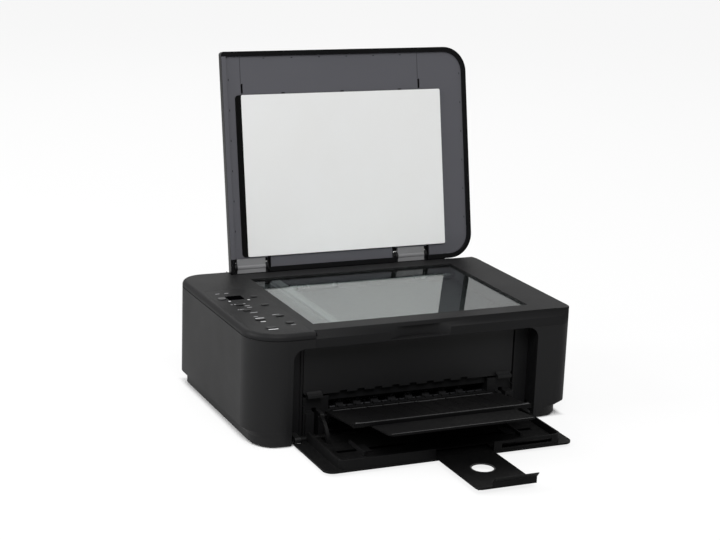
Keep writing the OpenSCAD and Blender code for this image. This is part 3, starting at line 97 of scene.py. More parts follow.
class Graph:
    """A node tree with short calls to add nodes, set their inputs and link them."""

    def __init__(self, tree: NodeTree) -> None:
        """Keep the tree that nodes go into."""
        self.tree = tree

    def add(self, kind: str, settings: dict | None = None, inputs: dict | None = None) -> Node:
        """Add one node.

        Args:
            kind: the node's type name.
            settings: attributes of the node, such as an operation.
            inputs: socket name or index to a value, or to a socket that is linked in.

        Returns:
            The new node.
        """
        node = self.tree.nodes.new(kind)
        for name, value in (settings or {}).items():
            setattr(node, name, value)
        for key, value in (inputs or {}).items():
            if isinstance(value, NodeSocket):
                self.link(value, node.inputs[key])
            else:
                node.inputs[key].default_value = value
        return node

    def link(self, source: NodeSocket, target: NodeSocket) -> None:
        """Link one socket to another."""
        self.tree.links.new(source, target)

    def math(self, operation: str, a: object, b: object = 0.0) -> NodeSocket:
        """Add a Math node and return its result."""
        return self.add("ShaderNodeMath", {"operation": operation}, {0: a, 1: b}).outputs[0]

    def mix_colour(self, share: object, a: object, b: object) -> NodeSocket:
        """Mix two colours by a share and return the result."""
        return self.add("ShaderNodeMix", {"data_type": "RGBA"}, {0: share, 6: a, 7: b}).outputs[2]

    def mix_shader(self, share: object, a: Node, b: Node) -> Node:
        """Mix two shaders by a share and return the mixing node."""
        return self.add("ShaderNodeMixShader", {}, {0: share, 1: a.outputs[0], 2: b.outputs[0]})

    def remap(self, value: object, low: float, high: float, to_low: float,
              to_high: float) -> NodeSocket:
        """Map a value from one range to another, clamped, and return the result."""
        inputs = {0: value, 1: low, 2: high, 3: to_low, 4: to_high}
        return self.add("ShaderNodeMapRange", {"clamp": True}, inputs).outputs[0]

    def place(self) -> NodeSocket:
        """Return the place on the object, in metres."""
        return self.add("ShaderNodeTexCoord").outputs["Object"]

    def axes(self, vector: NodeSocket) -> list[NodeSocket]:
        """Split a vector and return its three parts."""
        return list(self.add("ShaderNodeSeparateXYZ", {}, {0: vector}).outputs)

    def vector(self, x: object, y: object, z: object) -> NodeSocket:
        """Join three parts and return the vector."""
        return self.add("ShaderNodeCombineXYZ", {}, {0: x, 1: y, 2: z}).outputs[0]

    def noise(self, place: NodeSocket, scale: object, detail: float) -> NodeSocket:
        """Return smooth noise from 0 to 1."""
        inputs = {"Vector": place, "Scale": scale, "Detail": detail}
        return self.add("ShaderNodeTexNoise", {}, inputs).outputs["Fac"]

    def bump(self, height: NodeSocket, distance: float, strength: float = 1.0,
             normal: NodeSocket | None = None) -> NodeSocket:
        """Add a bump.

        Args:
            height: the height that the bump follows.
            distance: how deep it is at a height of 1.
            strength: its share, from 0 to 1.
            normal: the normal that it comes on top of, if any.

        Returns:
            The bumped normal.
        """
        inputs = {"Strength": strength, "Distance": distance, "Height": height}
        if normal is not None:
            inputs["Normal"] = normal
        return self.add("ShaderNodeBump", {}, inputs).outputs[0]

    def group(self, tree: NodeTree, **values: float) -> Sockets:
        """Place a shared group with its own values and return its outputs."""
        return self.add("ShaderNodeGroup", {"node_tree": tree}, values).outputs

    def camera_ray(self) -> NodeSocket:
        """Return 1 on what the camera sees straight."""
        return self.add("ShaderNodeLightPath").outputs["Is Camera Ray"]


def new_group(name: str, kind: str, inputs: dict, outputs: dict) -> tuple[Graph, Sockets, Sockets]:
    """Start a node group with named sockets.

    Args:
        name: the group's name.
        kind: "ShaderNodeTree" or "GeometryNodeTree".
        inputs: socket name to (Socket, default or None).
        outputs: socket name to Socket.

    Returns:
        The graph, the sockets that the group is given and those that it gives.
    """
    tree = bpy.data.node_groups.new(name, kind)
    for label, (socket, default) in inputs.items():
        made = tree.interface.new_socket(label, in_out="INPUT", socket_type=socket.value)
        if default is not None:
            made.default_value = default
    for label, socket in outputs.items():
        tree.interface.new_socket(label, in_out="OUTPUT", socket_type=socket.value)
    graph = Graph(tree)
    return graph, graph.add("NodeGroupInput").outputs, graph.add("NodeGroupOutput").inputs


# ---------------------------------------------------------------- shared surface effects

def grain_group() -> NodeTree:
    """Build the fine grain that a moulding tool leaves, as a height, and slow blotches, as a mask.

    Returns:
        The group's tree.
    """
    graph, given, gives = new_group("mould_grain", "ShaderNodeTree",
                                    {"Cells": (Socket.VALUE, 900.0), "Drift": (Socket.VALUE, 14.0)},
                                    {"Height": Socket.VALUE, "Blotch": Socket.VALUE})
    place = graph.place()
    cells = graph.add("ShaderNodeTexVoronoi", {"feature": "SMOOTH_F1"},
                      {"Vector": place, "Scale": given["Cells"], "Smoothness": 0.6})
    pits = graph.noise(place, given["Cells"], 2.0)
    graph.link(graph.math("MULTIPLY", cells.outputs["Distance"], pits), gives["Height"])
    graph.link(graph.noise(place, given["Drift"], 3.0), gives["Blotch"])
    return graph.tree


def edge_group() -> NodeTree:
    """Build the rounding of sharp edges: a normal, and a mask that is 1 on an edge.

    Returns:
        The group's tree.
    """
    sharp_cosine, flat_cosine = 0.7, 0.995
    graph, given, gives = new_group("soft_edge", "ShaderNodeTree", {"Radius": (Socket.VALUE, 0.0005)},
                                    {"Normal": Socket.NORMAL, "Edge": Socket.VALUE})
    bevel = graph.add("ShaderNodeBevel", {"samples": 4}, {"Radius": given["Radius"]}).outputs[0]
    flat = graph.add("ShaderNodeNewGeometry").outputs["Normal"]
    cosine = graph.add("ShaderNodeVectorMath", {"operation": "DOT_PRODUCT"}, {0: bevel, 1: flat})
    graph.link(bevel, gives["Normal"])
    graph.link(graph.remap(cosine.outputs["Value"], sharp_cosine, flat_cosine, 1.0, 0.0), gives["Edge"])
    return graph.tree


def dust_group() -> NodeTree:
    """Build the thin dust that settles on faces that look up, as a mask.

    Returns:
        The group's tree.
    """
    speck_scale, speck_range = 420.0, (0.45, 0.7)
    cloud_scale, cloud_range, cloud_least = 9.0, (0.35, 0.7), 0.2
    steep, level = 0.5, 0.98
    graph, given, gives = new_group("settled_dust", "ShaderNodeTree", {"Amount": (Socket.VALUE, 0.2)},
                                    {"Mask": Socket.VALUE})
    upward = graph.axes(graph.add("ShaderNodeNewGeometry").outputs["Normal"])[2]
    place = graph.place()
    specks = graph.remap(graph.noise(place, speck_scale, 4.0), *speck_range, 0.0, 1.0)
    clouds = graph.remap(graph.noise(place, cloud_scale, 2.0), *cloud_range, cloud_least, 1.0)
    facing_up = graph.remap(upward, steep, level, 0.0, 1.0)
    lying = graph.math("MULTIPLY", graph.math("MULTIPLY", specks, clouds), facing_up)
    graph.link(graph.math("MULTIPLY", lying, given["Amount"]), gives["Mask"])
    return graph.tree


def brush_group() -> NodeTree:
    """Build the streaks of drawn or ground metal along X, as a height.

    Returns:
        The group's tree.
    """
    graph, given, gives = new_group("drawn_streaks", "ShaderNodeTree",
                                    {"Across": (Socket.VALUE, 1500.0), "Along": (Socket.VALUE, 20.0)},
                                    {"Height": Socket.VALUE})
    scales = (given["Along"], given["Across"], given["Across"])
    stretched = graph.vector(*(graph.math("MULTIPLY", part, scale)
                               for part, scale in zip(graph.axes(graph.place()), scales)))
    graph.link(graph.noise(stretched, 1.0, 3.0), gives["Height"])
    return graph.tree


class Effects:
    """The shared groups, each built once."""

    def __init__(self) -> None:
        """Build every shared group."""
        self.grain = grain_group()
        self.edge = edge_group()
        self.dust = dust_group()
        self.brush = brush_group()


# ---------------------------------------------------------------- finishes

BLOTCH = (0.3, 0.7)
WHITE = (1.0, 1.0, 1.0)
DUST = (0.32, 0.31, 0.29)
DARK_DUST = (0.3, 0.29, 0.27)
GLASS_DUST = (0.5, 0.5, 0.5)
FINE_EDGE = 0.3 * MM


def toned(colour: Colour, factor: float = 1.0, lift: float = 0.0) -> tuple[float, float, float, float]:
    """Return a colour made brighter or darker, as an opaque colour for a socket."""
    return (*(min(1.0, part * factor + lift) for part in colour), 1.0)


@dataclass(frozen=True)
class Finish:
    """A surface finish.

    Sizes are in metres and colours are linear. Cells and blotches are counts to the metre. Drift is how far
    the colour strays, as a share, and uneven is how far the roughness strays.
    """

    name: str
    colour: Colour

    def surface(self, graph: Graph, fx: Effects) -> dict[str, object]:
        """Add the nodes of the surface.

        Args:
            graph: the material's nodes.
            fx: the shared groups.

        Returns:
            The shader's inputs, each a socket to link or one plain value.
        """
        raise NotImplementedError

    def material(self, fx: Effects) -> Material:
        """Build this finish's material.

        Args:
            fx: the shared groups.

        Returns:
            The material.
        """
        material = bpy.data.materials.new(self.name)
        material.use_nodes = True
        graph = Graph(material.node_tree)
        shader = graph.tree.nodes["Principled BSDF"]
        for label, source in self.surface(graph, fx).items():
            if isinstance(source, NodeSocket):
                graph.link(source, shader.inputs[label])
            else:
                shader.inputs[label].default_value = source
        return material


@dataclass(frozen=True)
class Plastic(Finish):
    """A moulded plastic with a fine grain, edges lightened partly by wear and partly as a painted highlight,
    and a little dust.
    """

    roughness: float = 0.45
    specular: float = 0.35
    grain: float = 0.00005
    cells: float = 1100.0
    drift: float = 0.12
    edge: float = 0.0004
    # Edge lightening below: wear and a painted highlight together.
    edge_scuff_and_highlight: float = 0.35
    scuff_and_highlight_lift: float = 0.012
    dust: float = 0.04
    blotches: float = 11.0
    lift: float = 0.0006
    scuff_and_highlight_gain: float = 1.8
    uneven: float = 0.04
    dusty_rough: float = 0.4

    def surface(self, graph: Graph, fx: Effects) -> dict[str, object]:
        """Add the nodes of the moulded surface.

        Args:
            graph: the material's nodes.
            fx: the shared groups.

        Returns:
            The shader's inputs, each a socket to link or one plain value.
        """
        grain = graph.group(fx.grain, Cells=self.cells, Drift=self.blotches)
        soft = graph.group(fx.edge, Radius=self.edge)
        dust = graph.group(fx.dust, Amount=self.dust)["Mask"]
        base = graph.mix_colour(grain["Blotch"], toned(self.colour, 1 - self.drift),
                                toned(self.colour, 1 + self.drift, self.lift))
        # Lighten the edges: partly wear, partly a painted highlight where rounded edges catch the light.
        scuffed_and_highlit_edge = graph.math("MULTIPLY", soft["Edge"], self.edge_scuff_and_highlight)
        base = graph.mix_colour(scuffed_and_highlit_edge, base, toned(self.colour, self.scuff_and_highlight_gain, self.scuff_and_highlight_lift))
        base = graph.mix_colour(dust, base, toned(DUST))
        rough = graph.remap(grain["Blotch"], *BLOTCH, self.roughness - self.uneven,
                            self.roughness + self.uneven)
        rough = graph.math("ADD", rough, graph.math("MULTIPLY", dust, self.dusty_rough))
        normal = graph.bump(grain["Height"], self.grain, normal=soft["Normal"])
        return {"Base Color": base, "Roughness": rough, "Normal": normal, "Specular IOR Level": self.specular}


@dataclass(frozen=True)
class Metal(Finish):
    """A drawn, ground or plated metal."""

    roughness: float = 0.28
    streak: float = 0.00002
    across: float = 1500.0
    along: float = 25.0
    cells: float = 300.0
    blotches: float = 40.0
    dull: float = 0.8
    smoother: float = 0.06
    rougher: float = 0.08

    def surface(self, graph: Graph, fx: Effects) -> dict[str, object]:
        """Add the nodes of the metal surface.

        Args:
            graph: the material's nodes.
            fx: the shared groups.

        Returns:
            The shader's inputs, each a socket to link or one plain value.
        """
        streaks = graph.group(fx.brush, Across=self.across, Along=self.along)
        grain = graph.group(fx.grain, Cells=self.cells, Drift=self.blotches)
        soft = graph.group(fx.edge, Radius=FINE_EDGE)
        base = graph.mix_colour(grain["Blotch"], toned(self.colour, self.dull), toned(self.colour))
        rough = graph.remap(grain["Blotch"], *BLOTCH, self.roughness - self.smoother,
                            self.roughness + self.rougher)
        normal = graph.bump(streaks["Height"], self.streak, normal=soft["Normal"])
        return {"Base Color": base, "Roughness": rough, "Normal": normal, "Metallic": 1.0}


@dataclass(frozen=True)
class Rubber(Finish):
    """A soft matt rubber or foam."""

    roughness: float = 0.8
    cells: float = 700.0
    depth: float = 0.0002
    specular: float = 0.25
    dust: float = 0.08
    blotches: float = 60.0
    dark: float = 0.75
    uneven: float = 0.05

    def surface(self, graph: Graph, fx: Effects) -> dict[str, object]:
        """Add the nodes of the matt surface.

        Args:
            graph: the material's nodes.
            fx: the shared groups.

        Returns:
            The shader's inputs, each a socket to link or one plain value.
        """
        grain = graph.group(fx.grain, Cells=self.cells, Drift=self.blotches)
        dust = graph.group(fx.dust, Amount=self.dust)["Mask"]
        base = graph.mix_colour(grain["Blotch"], toned(self.colour, self.dark), toned(self.colour))
        base = graph.mix_colour(dust, base, toned(DARK_DUST))
        rough = graph.remap(grain["Blotch"], *BLOTCH, self.roughness - self.uneven,
                            self.roughness + self.uneven)
        normal = graph.bump(grain["Height"], self.depth)
        return {"Base Color": base, "Roughness": rough, "Normal": normal, "Specular IOR Level": self.specular}


@dataclass(frozen=True)
class PadSheet(Finish):
    """The smooth white sheet of the document pad, with faint waves and scuffs."""

    tired: Colour = (0.83905, 0.84148, 0.8284)
    roughness: Pair = (0.3, 0.42)
    wave_scale: float = 7.0
    wave: float = 2 * MM
    wave_share: float = 0.6
    scuff_cells: float = 1600.0
    scuff: float = 0.02 * MM
    scuff_share: float = 0.5
    blotches: float = 18.0

    def surface(self, graph: Graph, fx: Effects) -> dict[str, object]:
        """Add the nodes of the sheet's surface.

        Args:
            graph: the material's nodes.
            fx: the shared groups.

        Returns:
            The shader's inputs, each a socket to link or one plain value.
        """
        waves = graph.noise(graph.place(), self.wave_scale, 1.0)
        grain = graph.group(fx.grain, Cells=self.scuff_cells, Drift=self.blotches)
        soft = graph.group(fx.edge, Radius=FINE_EDGE)
        base = graph.mix_colour(grain["Blotch"], toned(self.colour), toned(self.tired))
        rough = graph.remap(waves, *BLOTCH, *self.roughness)
        wavy = graph.bump(waves, self.wave, self.wave_share, soft["Normal"])
        normal = graph.bump(grain["Height"], self.scuff, self.scuff_share, wavy)
        return {"Base Color": base, "Roughness": rough, "Normal": normal}


@dataclass(frozen=True)
class Glass(Finish):
    """Clear float glass that lets light through to what lies under it."""

    shadow: Colour = (0.85, 0.9, 0.89)
    ior: float = 1.52
    dust: float = 0.05
    dusty_rough: float = 0.03

    def surface(self, graph: Graph, fx: Effects) -> dict[str, object]:
        """Add the nodes of the clear surface.

        Args:
            graph: the material's nodes.
            fx: the shared groups.

        Returns:
            The shader's inputs, each a socket to link or one plain value.
        """
        dust = graph.group(fx.dust, Amount=self.dust)["Mask"]
        tint = graph.mix_colour(dust, toned(self.colour), toned(GLASS_DUST))
        return {"Base Color": tint, "Roughness": graph.math("MULTIPLY", dust, self.dusty_rough),
                "Transmission Weight": 1.0, "IOR": self.ior}

    def material(self, fx: Effects) -> Material:
        """Build the glass, with a plain clear shader for the light that casts shadows.

        Args:
            fx: the shared groups.

        Returns:
            The material.
        """
        material = super().material(fx)
        graph = Graph(material.node_tree)
        nodes = graph.tree.nodes
        clear = graph.add("ShaderNodeBsdfTransparent", {}, {"Color": toned(self.shadow)})
        shadow_ray = graph.add("ShaderNodeLightPath").outputs["Is Shadow Ray"]
        mix = graph.mix_shader(shadow_ray, nodes["Principled BSDF"], clear)
        graph.link(mix.outputs[0], nodes["Material Output"].inputs["Surface"])
        return material


@dataclass(frozen=True)
class CircuitBoard(Finish):
    """A coated circuit board with faint tracks, and the pale shell of the socket at its rear edge."""

    socket: Colour = (0.16, 0.16, 0.165)
    socket_front: float = 134 * MM
    plate_top: float = 26.6 * MM
    roughness: Pair = (0.25, 0.4)
    track_scale: float = 160.0
    track_gap: float = 0.06
    track_width: float = 1.4
    track_height: float = 0.05 * MM
    track_share: float = 0.6
    track_gain: float = 1.7
    track_lift: float = 0.01
    cells: float = 700.0
    blotches: float = 30.0

    def surface(self, graph: Graph, fx: Effects) -> dict[str, object]:
        """Add the nodes of the coated board.

        Args:
            graph: the material's nodes.
            fx: the shared groups.

        Returns:
            The shader's inputs, each a socket to link or one plain value.
        """
        place = graph.place()
        layout = {"Vector": place, "Scale": self.track_scale, "Mortar Size": self.track_gap,
                  "Brick Width": self.track_width}
        tracks = graph.add("ShaderNodeTexBrick", {"offset": 0.5}, layout).outputs["Fac"]
        grain = graph.group(fx.grain, Cells=self.cells, Drift=self.blotches)
        _, y, z = graph.axes(place)
        on_socket = graph.math("MULTIPLY", graph.math("GREATER_THAN", y, self.socket_front),
                               graph.math("GREATER_THAN", z, self.plate_top))
        raised = toned(self.colour, self.track_gain, self.track_lift)
        base = graph.mix_colour(tracks, toned(self.colour), raised)
        base = graph.mix_colour(on_socket, base, toned(self.socket))
        rough = graph.remap(grain["Blotch"], *BLOTCH, *self.roughness)
        normal = graph.bump(tracks, self.track_height, self.track_share)
        return {"Base Color": base, "Roughness": rough, "Normal": normal}


CASING = Plastic("casing_black", (0.0085, 0.0085, 0.009), roughness=0.46, specular=0.24)
BAY = Plastic("bay_black", (0.0065, 0.0065, 0.007), roughness=0.5, specular=0.22)
DECK = Plastic("deck_black", (0.0125, 0.0125, 0.013), roughness=0.46, specular=0.11, edge=0.0006,
               edge_scuff_and_highlight=0.25, dust=0.03)
# The tray, door and support get broad lightened edges: wear plus painted highlights along their edges.
TRAY = Plastic("tray_black", (0.0032, 0.0032, 0.0034), roughness=0.52, specular=0.09, edge=0.0005, edge_scuff_and_highlight=0.3)
# Light grey that paints the highlights on the trays' lips, tab, corner blocks and the finger-hole collar.
HIGHLIGHT_TRIM = Plastic("tray_trim_painted_highlight", (0.052, 0.052, 0.053), roughness=0.42, specular=0.4, edge=0.0003, edge_scuff_and_highlight=0.5)
DOOR = Plastic("door_black", (0.0035, 0.0035, 0.0037), roughness=0.48, specular=0.13, edge=0.0006, edge_scuff_and_highlight=0.6)
SUPPORT = Plastic("support_black", (0.0028, 0.0028, 0.003), roughness=0.38, specular=0.12, edge=0.0005,
                  edge_scuff_and_highlight=0.8, scuff_and_highlight_lift=0.018)
PLATFORM = Plastic("platform_black", (0.003, 0.003, 0.0032), roughness=0.5, specular=0.14)
GUIDE = Plastic("guide_grey", (0.007, 0.007, 0.0075), specular=0.2)
COVER = Plastic("cover_black", (0.009, 0.009, 0.0095), roughness=0.5, specular=0.3, cells=900.0)
GLOSS = Plastic("rim_gloss", (0.004, 0.004, 0.0045), roughness=0.22, specular=0.3, grain=0.000001,
                edge=0.0008, edge_scuff_and_highlight=0.1, dust=0.02)
LINE = Plastic("lining_line", (0.05, 0.05, 0.057), roughness=0.6, specular=0.2, grain=0.0, edge_scuff_and_highlight=0.0, dust=0.0)
# Lining grey, partly its own tone and partly a painted sheen.
LINING_WITH_SHEEN = Plastic("lining_grey_and_painted_sheen", (0.092, 0.092, 0.104), roughness=0.55, specular=0.3, drift=0.05, edge_scuff_and_highlight=0.15)
HINGE = Plastic("hinge_grey", (0.215, 0.215, 0.22), roughness=0.5, drift=0.08)
PANEL = Plastic("panel_sheet", (0.0105, 0.0105, 0.011), roughness=0.44, specular=0.12, grain=0.00001,
                dust=0.03)
KEY = Plastic("key_cap", (0.016, 0.016, 0.0165), roughness=0.42, specular=0.2, grain=0.00001, edge_scuff_and_highlight=0.25)
POWER_KEY = Plastic("power_cap", (0.075, 0.075, 0.077), roughness=0.4, specular=0.25, grain=0.00001,
                    edge_scuff_and_highlight=0.25)
CARTRIDGE = Plastic("cartridge_black", (0.03, 0.03, 0.031), roughness=0.4)
GREY_CARTRIDGE = Plastic("cartridge_grey", (0.1, 0.1, 0.105), roughness=0.4)
ACETAL = Plastic("acetal", (0.62, 0.61, 0.57), roughness=0.4, grain=0.000005, edge_scuff_and_highlight=0.0, dust=0.0)
SCAN_BAR = Plastic("scan_bar", (0.05, 0.05, 0.052), roughness=0.4)
PAN = Plastic("pan_black", (0.008, 0.008, 0.008), roughness=0.55, dust=0.0)
SCREEN = Plastic("screen_glass", (0.0006, 0.0006, 0.0008), roughness=0.3, specular=0.0, grain=0.0,
                 edge=0.0002, edge_scuff_and_highlight=0.0, dust=0.0)
MARK = Plastic("mark_white", (0.62, 0.62, 0.63), roughness=0.5, grain=0.0, edge=0.0001, edge_scuff_and_highlight=0.0, dust=0.0)
DIM_MARK = Plastic("mark_grey", (0.3, 0.3, 0.31), roughness=0.5, grain=0.0, edge=0.0001, edge_scuff_and_highlight=0.0, dust=0.0)
# Near-black that paints the shade inside recesses.
SHADE = Plastic("recess_painted_shade", (0.0015, 0.0015, 0.0016), roughness=0.8, specular=0.05, grain=0.00002,
                edge_scuff_and_highlight=0.0, dust=0.0)
SHEET_METAL = Metal("zinc_sheet", (0.56, 0.57, 0.58), roughness=0.36)
STEEL = Metal("ground_steel", (0.62, 0.62, 0.63), roughness=0.22)
BLUED = Metal("blued_steel", (0.055, 0.055, 0.06), roughness=0.34)
BRASS = Metal("turned_brass", (0.7, 0.52, 0.24), roughness=0.3)
FOOT = Rubber("foot_rubber", (0.02, 0.02, 0.02))
ROLLER = Rubber("roller_rubber", (0.011, 0.011, 0.012), depth=0.0001, specular=0.14, dust=0.0)
BELT = Rubber("belt_rubber", (0.015, 0.015, 0.015), cells=1200.0, depth=0.0001)
FOAM = Rubber("pad_foam", (0.003, 0.003, 0.003), cells=500.0, depth=0.0006, specular=0.08, dust=0.01)
SHEET = PadSheet("pad_sheet", (0.865, 0.872, 0.872))
FLOAT_GLASS = Glass("float_glass", (0.90, 0.97, 0.95))
BOARD = CircuitBoard("circuit_board", (0.012, 0.085, 0.035))

KEYS = ("wireless", "copies", "paper", "fit", "stop", "scan", "black", "color")
NODE_FINISH: dict[Finish, tuple[str, ...]] = {
    CASING: ("main_casing", "base_tub", "power_inlet", "hinge_brackets"),
    DOOR: ("front_door",),
    DECK: ("top_cover",),
    BAY: ("bay_frame", "star_wheel_bar"),
    PLATFORM: ("tray_platform", "door_stays"),
    COVER: ("inner_cover",),
    TRAY: ("output_tray", "tray_extension"),
    SUPPORT: ("paper_support",),
    GUIDE: ("left_paper_guide", "right_paper_guide", "guide_pinion"),
    GLOSS: ("lid_shell",),
    LINING_WITH_SHEEN: ("lid_lining",),
    HINGE: ("hinge_arms",),
    PANEL: ("control_panel",),
    KEY: tuple(f"{key}_button" for key in KEYS),
    POWER_KEY: ("power_button",),
    PAN: ("scanner_pan",),
    SCAN_BAR: ("scan_carriage",),
    CARTRIDGE: ("cartridge_carriage", "black_cartridge", "power_supply"),
    GREY_CARTRIDGE: ("color_cartridge",),
    ACETAL: ("feed_gear", "exit_gear", "idler_gear", "idler_pulley"),
    SHEET_METAL: ("chassis", "carriage_rail", "carriage_motor", "feed_motor"),
    STEEL: ("scan_guide_rod", "casing_screws"),
    BLUED: ("exit_shaft", "star_wheels", "hinge_pins"),
    BRASS: ("motor_pulley", "motor_pinion"),
    FOOT: ("rubber_feet",),
    ROLLER: ("exit_rubbers", "feed_shaft"),
    BELT: ("carriage_belt",),
    FLOAT_GLASS: ("platen_glass",),
    BOARD: ("panel_board", "main_board"),
}


class Finishes:
    """Builds each finish's material once and hands it out."""

    def __init__(self) -> None:
        """Start with the shared groups and no materials."""
        self.fx = Effects()
        self.made: dict[str, Material] = {}

    def get(self, finish: Finish) -> Material:
        """Hand out a finish's material, built at its first use.

        Args:
            finish: the finish.

        Returns:
            Its material.
        """
        if finish.name not in self.made:
            self.made[finish.name] = finish.material(self.fx)
        return self.made[finish.name]

    def dress_nodes(self) -> None:
        """Give every node of the frame the finish that the table names."""
        for finish, names in NODE_FINISH.items():
            material = self.get(finish)
            for name in names:
                node = frame["nodes"][name]
                for slot in node.material_slots:
                    slot.link = "OBJECT"
                    slot.material = material
                if not node.material_slots:
                    node.data.materials.append(material)
                log.info("dressed %s with %s", name, finish.name)


# ---------------------------------------------------------------- mesh helpers

MERGE_DISTANCE = 1e-7
SHARP_DEGREES = 40
ALONG_AXIS = 0.9999
DISC_STEPS = 32
OVERHEAD = 1.0


def rounded_outline(width: float, depth: float, radius: float, steps: int = 8) -> Outline:
    """Lay out a rounded rectangle about the origin.

    Args:
        width: its size along X.
        depth: its size along Y.
        radius: its corners' radius.
        steps: straight steps of each corner.

    Returns:
        Its points, counter-clockwise.
    """
    points = []
    for sx, sy, start in ((1, 1, 0), (-1, 1, 90), (-1, -1, 180), (1, -1, 270)):
        cx, cy = sx * (width / 2 - radius), sy * (depth / 2 - radius)
        for i in range(steps + 1):
            turn = math.radians(start + 90 * i / steps)
            points.append((cx + radius * math.cos(turn), cy + radius * math.sin(turn)))
    return points


def join_rings(bm: BMesh, rings: list[list[Vector]], capped: bool = True) -> None:
    """Skin a row of equal rings of points.

    Args:
        bm: mesh that the skin goes into.
        rings: the rings, each in the same order.
        capped: whether both ends are filled; otherwise the last ring joins the first.
    """
    made = [[bm.verts.new(point) for point in ring] for ring in rings]
    if capped:
        bm.faces.new(list(reversed(made[0])))
        bm.faces.new(made[-1])
    for a, b in zip(made, made[1:] if capped else made[1:] + made[:1]):
        for i in range(len(a)):
            j = (i + 1) % len(a)
            bm.faces.new((a[i], a[j], b[j], b[i]))


def slab(bm: BMesh, outline: Outline, low: float, high: float, middle: Pair = (0, 0)) -> None:
    """Add a closed slab.

    Args:
        bm: mesh that the slab goes into.
        outline: its points, counter-clockwise seen from above.
        low: height of the underside.
        high: height of the top.
        middle: where the outline's origin goes.
    """
    join_rings(bm, [[Vector((middle[0] + x, middle[1] + y, z)) for x, y in outline] for z in (low, high)])


def block(bm: BMesh, low: Triple, high: Triple) -> None:
    """Add a box between two corners."""
    (x0, y0, z0), (x1, y1, z1) = low, high
    slab(bm, [(x0, y0), (x1, y0), (x1, y1), (x0, y1)], z0, z1)


def bar(bm: BMesh, start: Vector, end: Vector, width: float, height: float) -> None:
    """Add a straight bar.

    Args:
        bm: mesh that the bar goes into.
        start: the middle of its underside at one end.
        end: the same at the other end.
        width: its width.
        height: its height.
    """
    along = (end - start).normalized()
    side = Vector((0, 0, 1)).cross(along).normalized() * width / 2
    up = along.cross(side).normalized() * height
    join_rings(bm, [[p + a for a in (-side, side, side + up, -side + up)] for p in (start, end)])


def disc_x(bm: BMesh, centre: Vector, radius: float, length: float) -> None:
    """Add a round disc about an axis along X.

    Args:
        bm: mesh that the disc goes into.
        centre: its middle.
        radius: its radius.
        length: its thickness.
    """
    place = Matrix.Translation(centre) @ Matrix.Rotation(math.radians(90), 4, "Y")
    bmesh.ops.create_cone(bm, cap_ends=True, segments=DISC_STEPS, radius1=radius, radius2=radius,
                          depth=length, matrix=place)


def bevel_rim(bm: BMesh, width: float, segments: int = 2) -> None:
    """Bevel every edge of a mesh that turns sharply.

    Args:
        bm: the mesh.
        width: the bevel's width.
        segments: its steps.
    """
    turn = math.radians(SHARP_DEGREES)
    sharp = [edge for edge in bm.edges if len(edge.link_faces) == 2 and edge.calc_face_angle() > turn]
    bmesh.ops.bevel(bm, geom=sharp, offset=width, segments=segments, profile=0.5, affect="EDGES",
                    clamp_overlap=True)


def link_object(name: str, mesh: Mesh) -> Object:
    """Put a mesh in the scene.

    Args:
        name: the object's name.
        mesh: its mesh.

    Returns:
        The object.
    """
    made = bpy.data.objects.new(name, mesh)
    bpy.context.scene.collection.objects.link(made)
    return made


def finish_mesh(bm: BMesh, name: str, place: Matrix | None = None) -> Object:
    """Turn a bmesh into an object at the origin, with its place in its mesh.

    Args:
        bm: the bmesh; it is freed.
        name: the object's name.
        place: matrix that is applied to the mesh.

    Returns:
        The object.
    """
    bmesh.ops.remove_doubles(bm, verts=bm.verts, dist=MERGE_DISTANCE)
    bmesh.ops.recalc_face_normals(bm, faces=bm.faces)
    if place is not None:
        bmesh.ops.transform(bm, matrix=place, verts=bm.verts)
    mesh = bpy.data.meshes.new(name)
    bm.to_mesh(mesh)
    bm.free()
    return link_object(name, mesh)


def shade_round_faces(piece: Object, degrees: float) -> None:
    """Shade a piece's round faces smooth and leave faces along the axes flat.

    Args:
        piece: the piece.
        degrees: edges that turn more than this stay sharp.
    """
    smooth = [max(abs(part) for part in face.normal) < ALONG_AXIS for face in piece.data.polygons]
    piece.data.set_sharp_from_angle(angle=math.radians(degrees))
    piece.data.polygons.foreach_set("use_smooth", smooth)


def surface_point(node: str, x: float, y: float) -> Vector:
    """Find the highest point of a node at a place in plan.

    Args:
        node: the node's name.
        x: the place along X.
        y: the place along Y.

    Returns:
        The point.
    """
    mesh = frame["nodes"][node].data
    tree = BVHTree.FromPolygons([v.co for v in mesh.vertices], [p.vertices for p in mesh.polygons])
    return tree.ray_cast(Vector((x, y, OVERHEAD)), Vector((0, 0, -1)))[0]


# ---------------------------------------------------------------- repeated parts by Geometry Nodes

def plain_mesh(source: Object, name: str, place: Matrix | None = None) -> Object:
    """Turn an object with modifiers into a plain mesh object.

    Args:
        source: the object that carries the modifiers; it is removed.
        name: the new object's name.
        place: matrix that is applied to the mesh.

    Returns:
        The plain object at the origin.
    """
    graph = bpy.context.evaluated_depsgraph_get()
    mesh = bpy.data.meshes.new_from_object(source.evaluated_get(graph))
    source.modifiers.clear()
    bpy.data.objects.remove(source)
    mesh.name = name
    if place is not None:
        mesh.transform(place)
    return link_object(name, mesh)


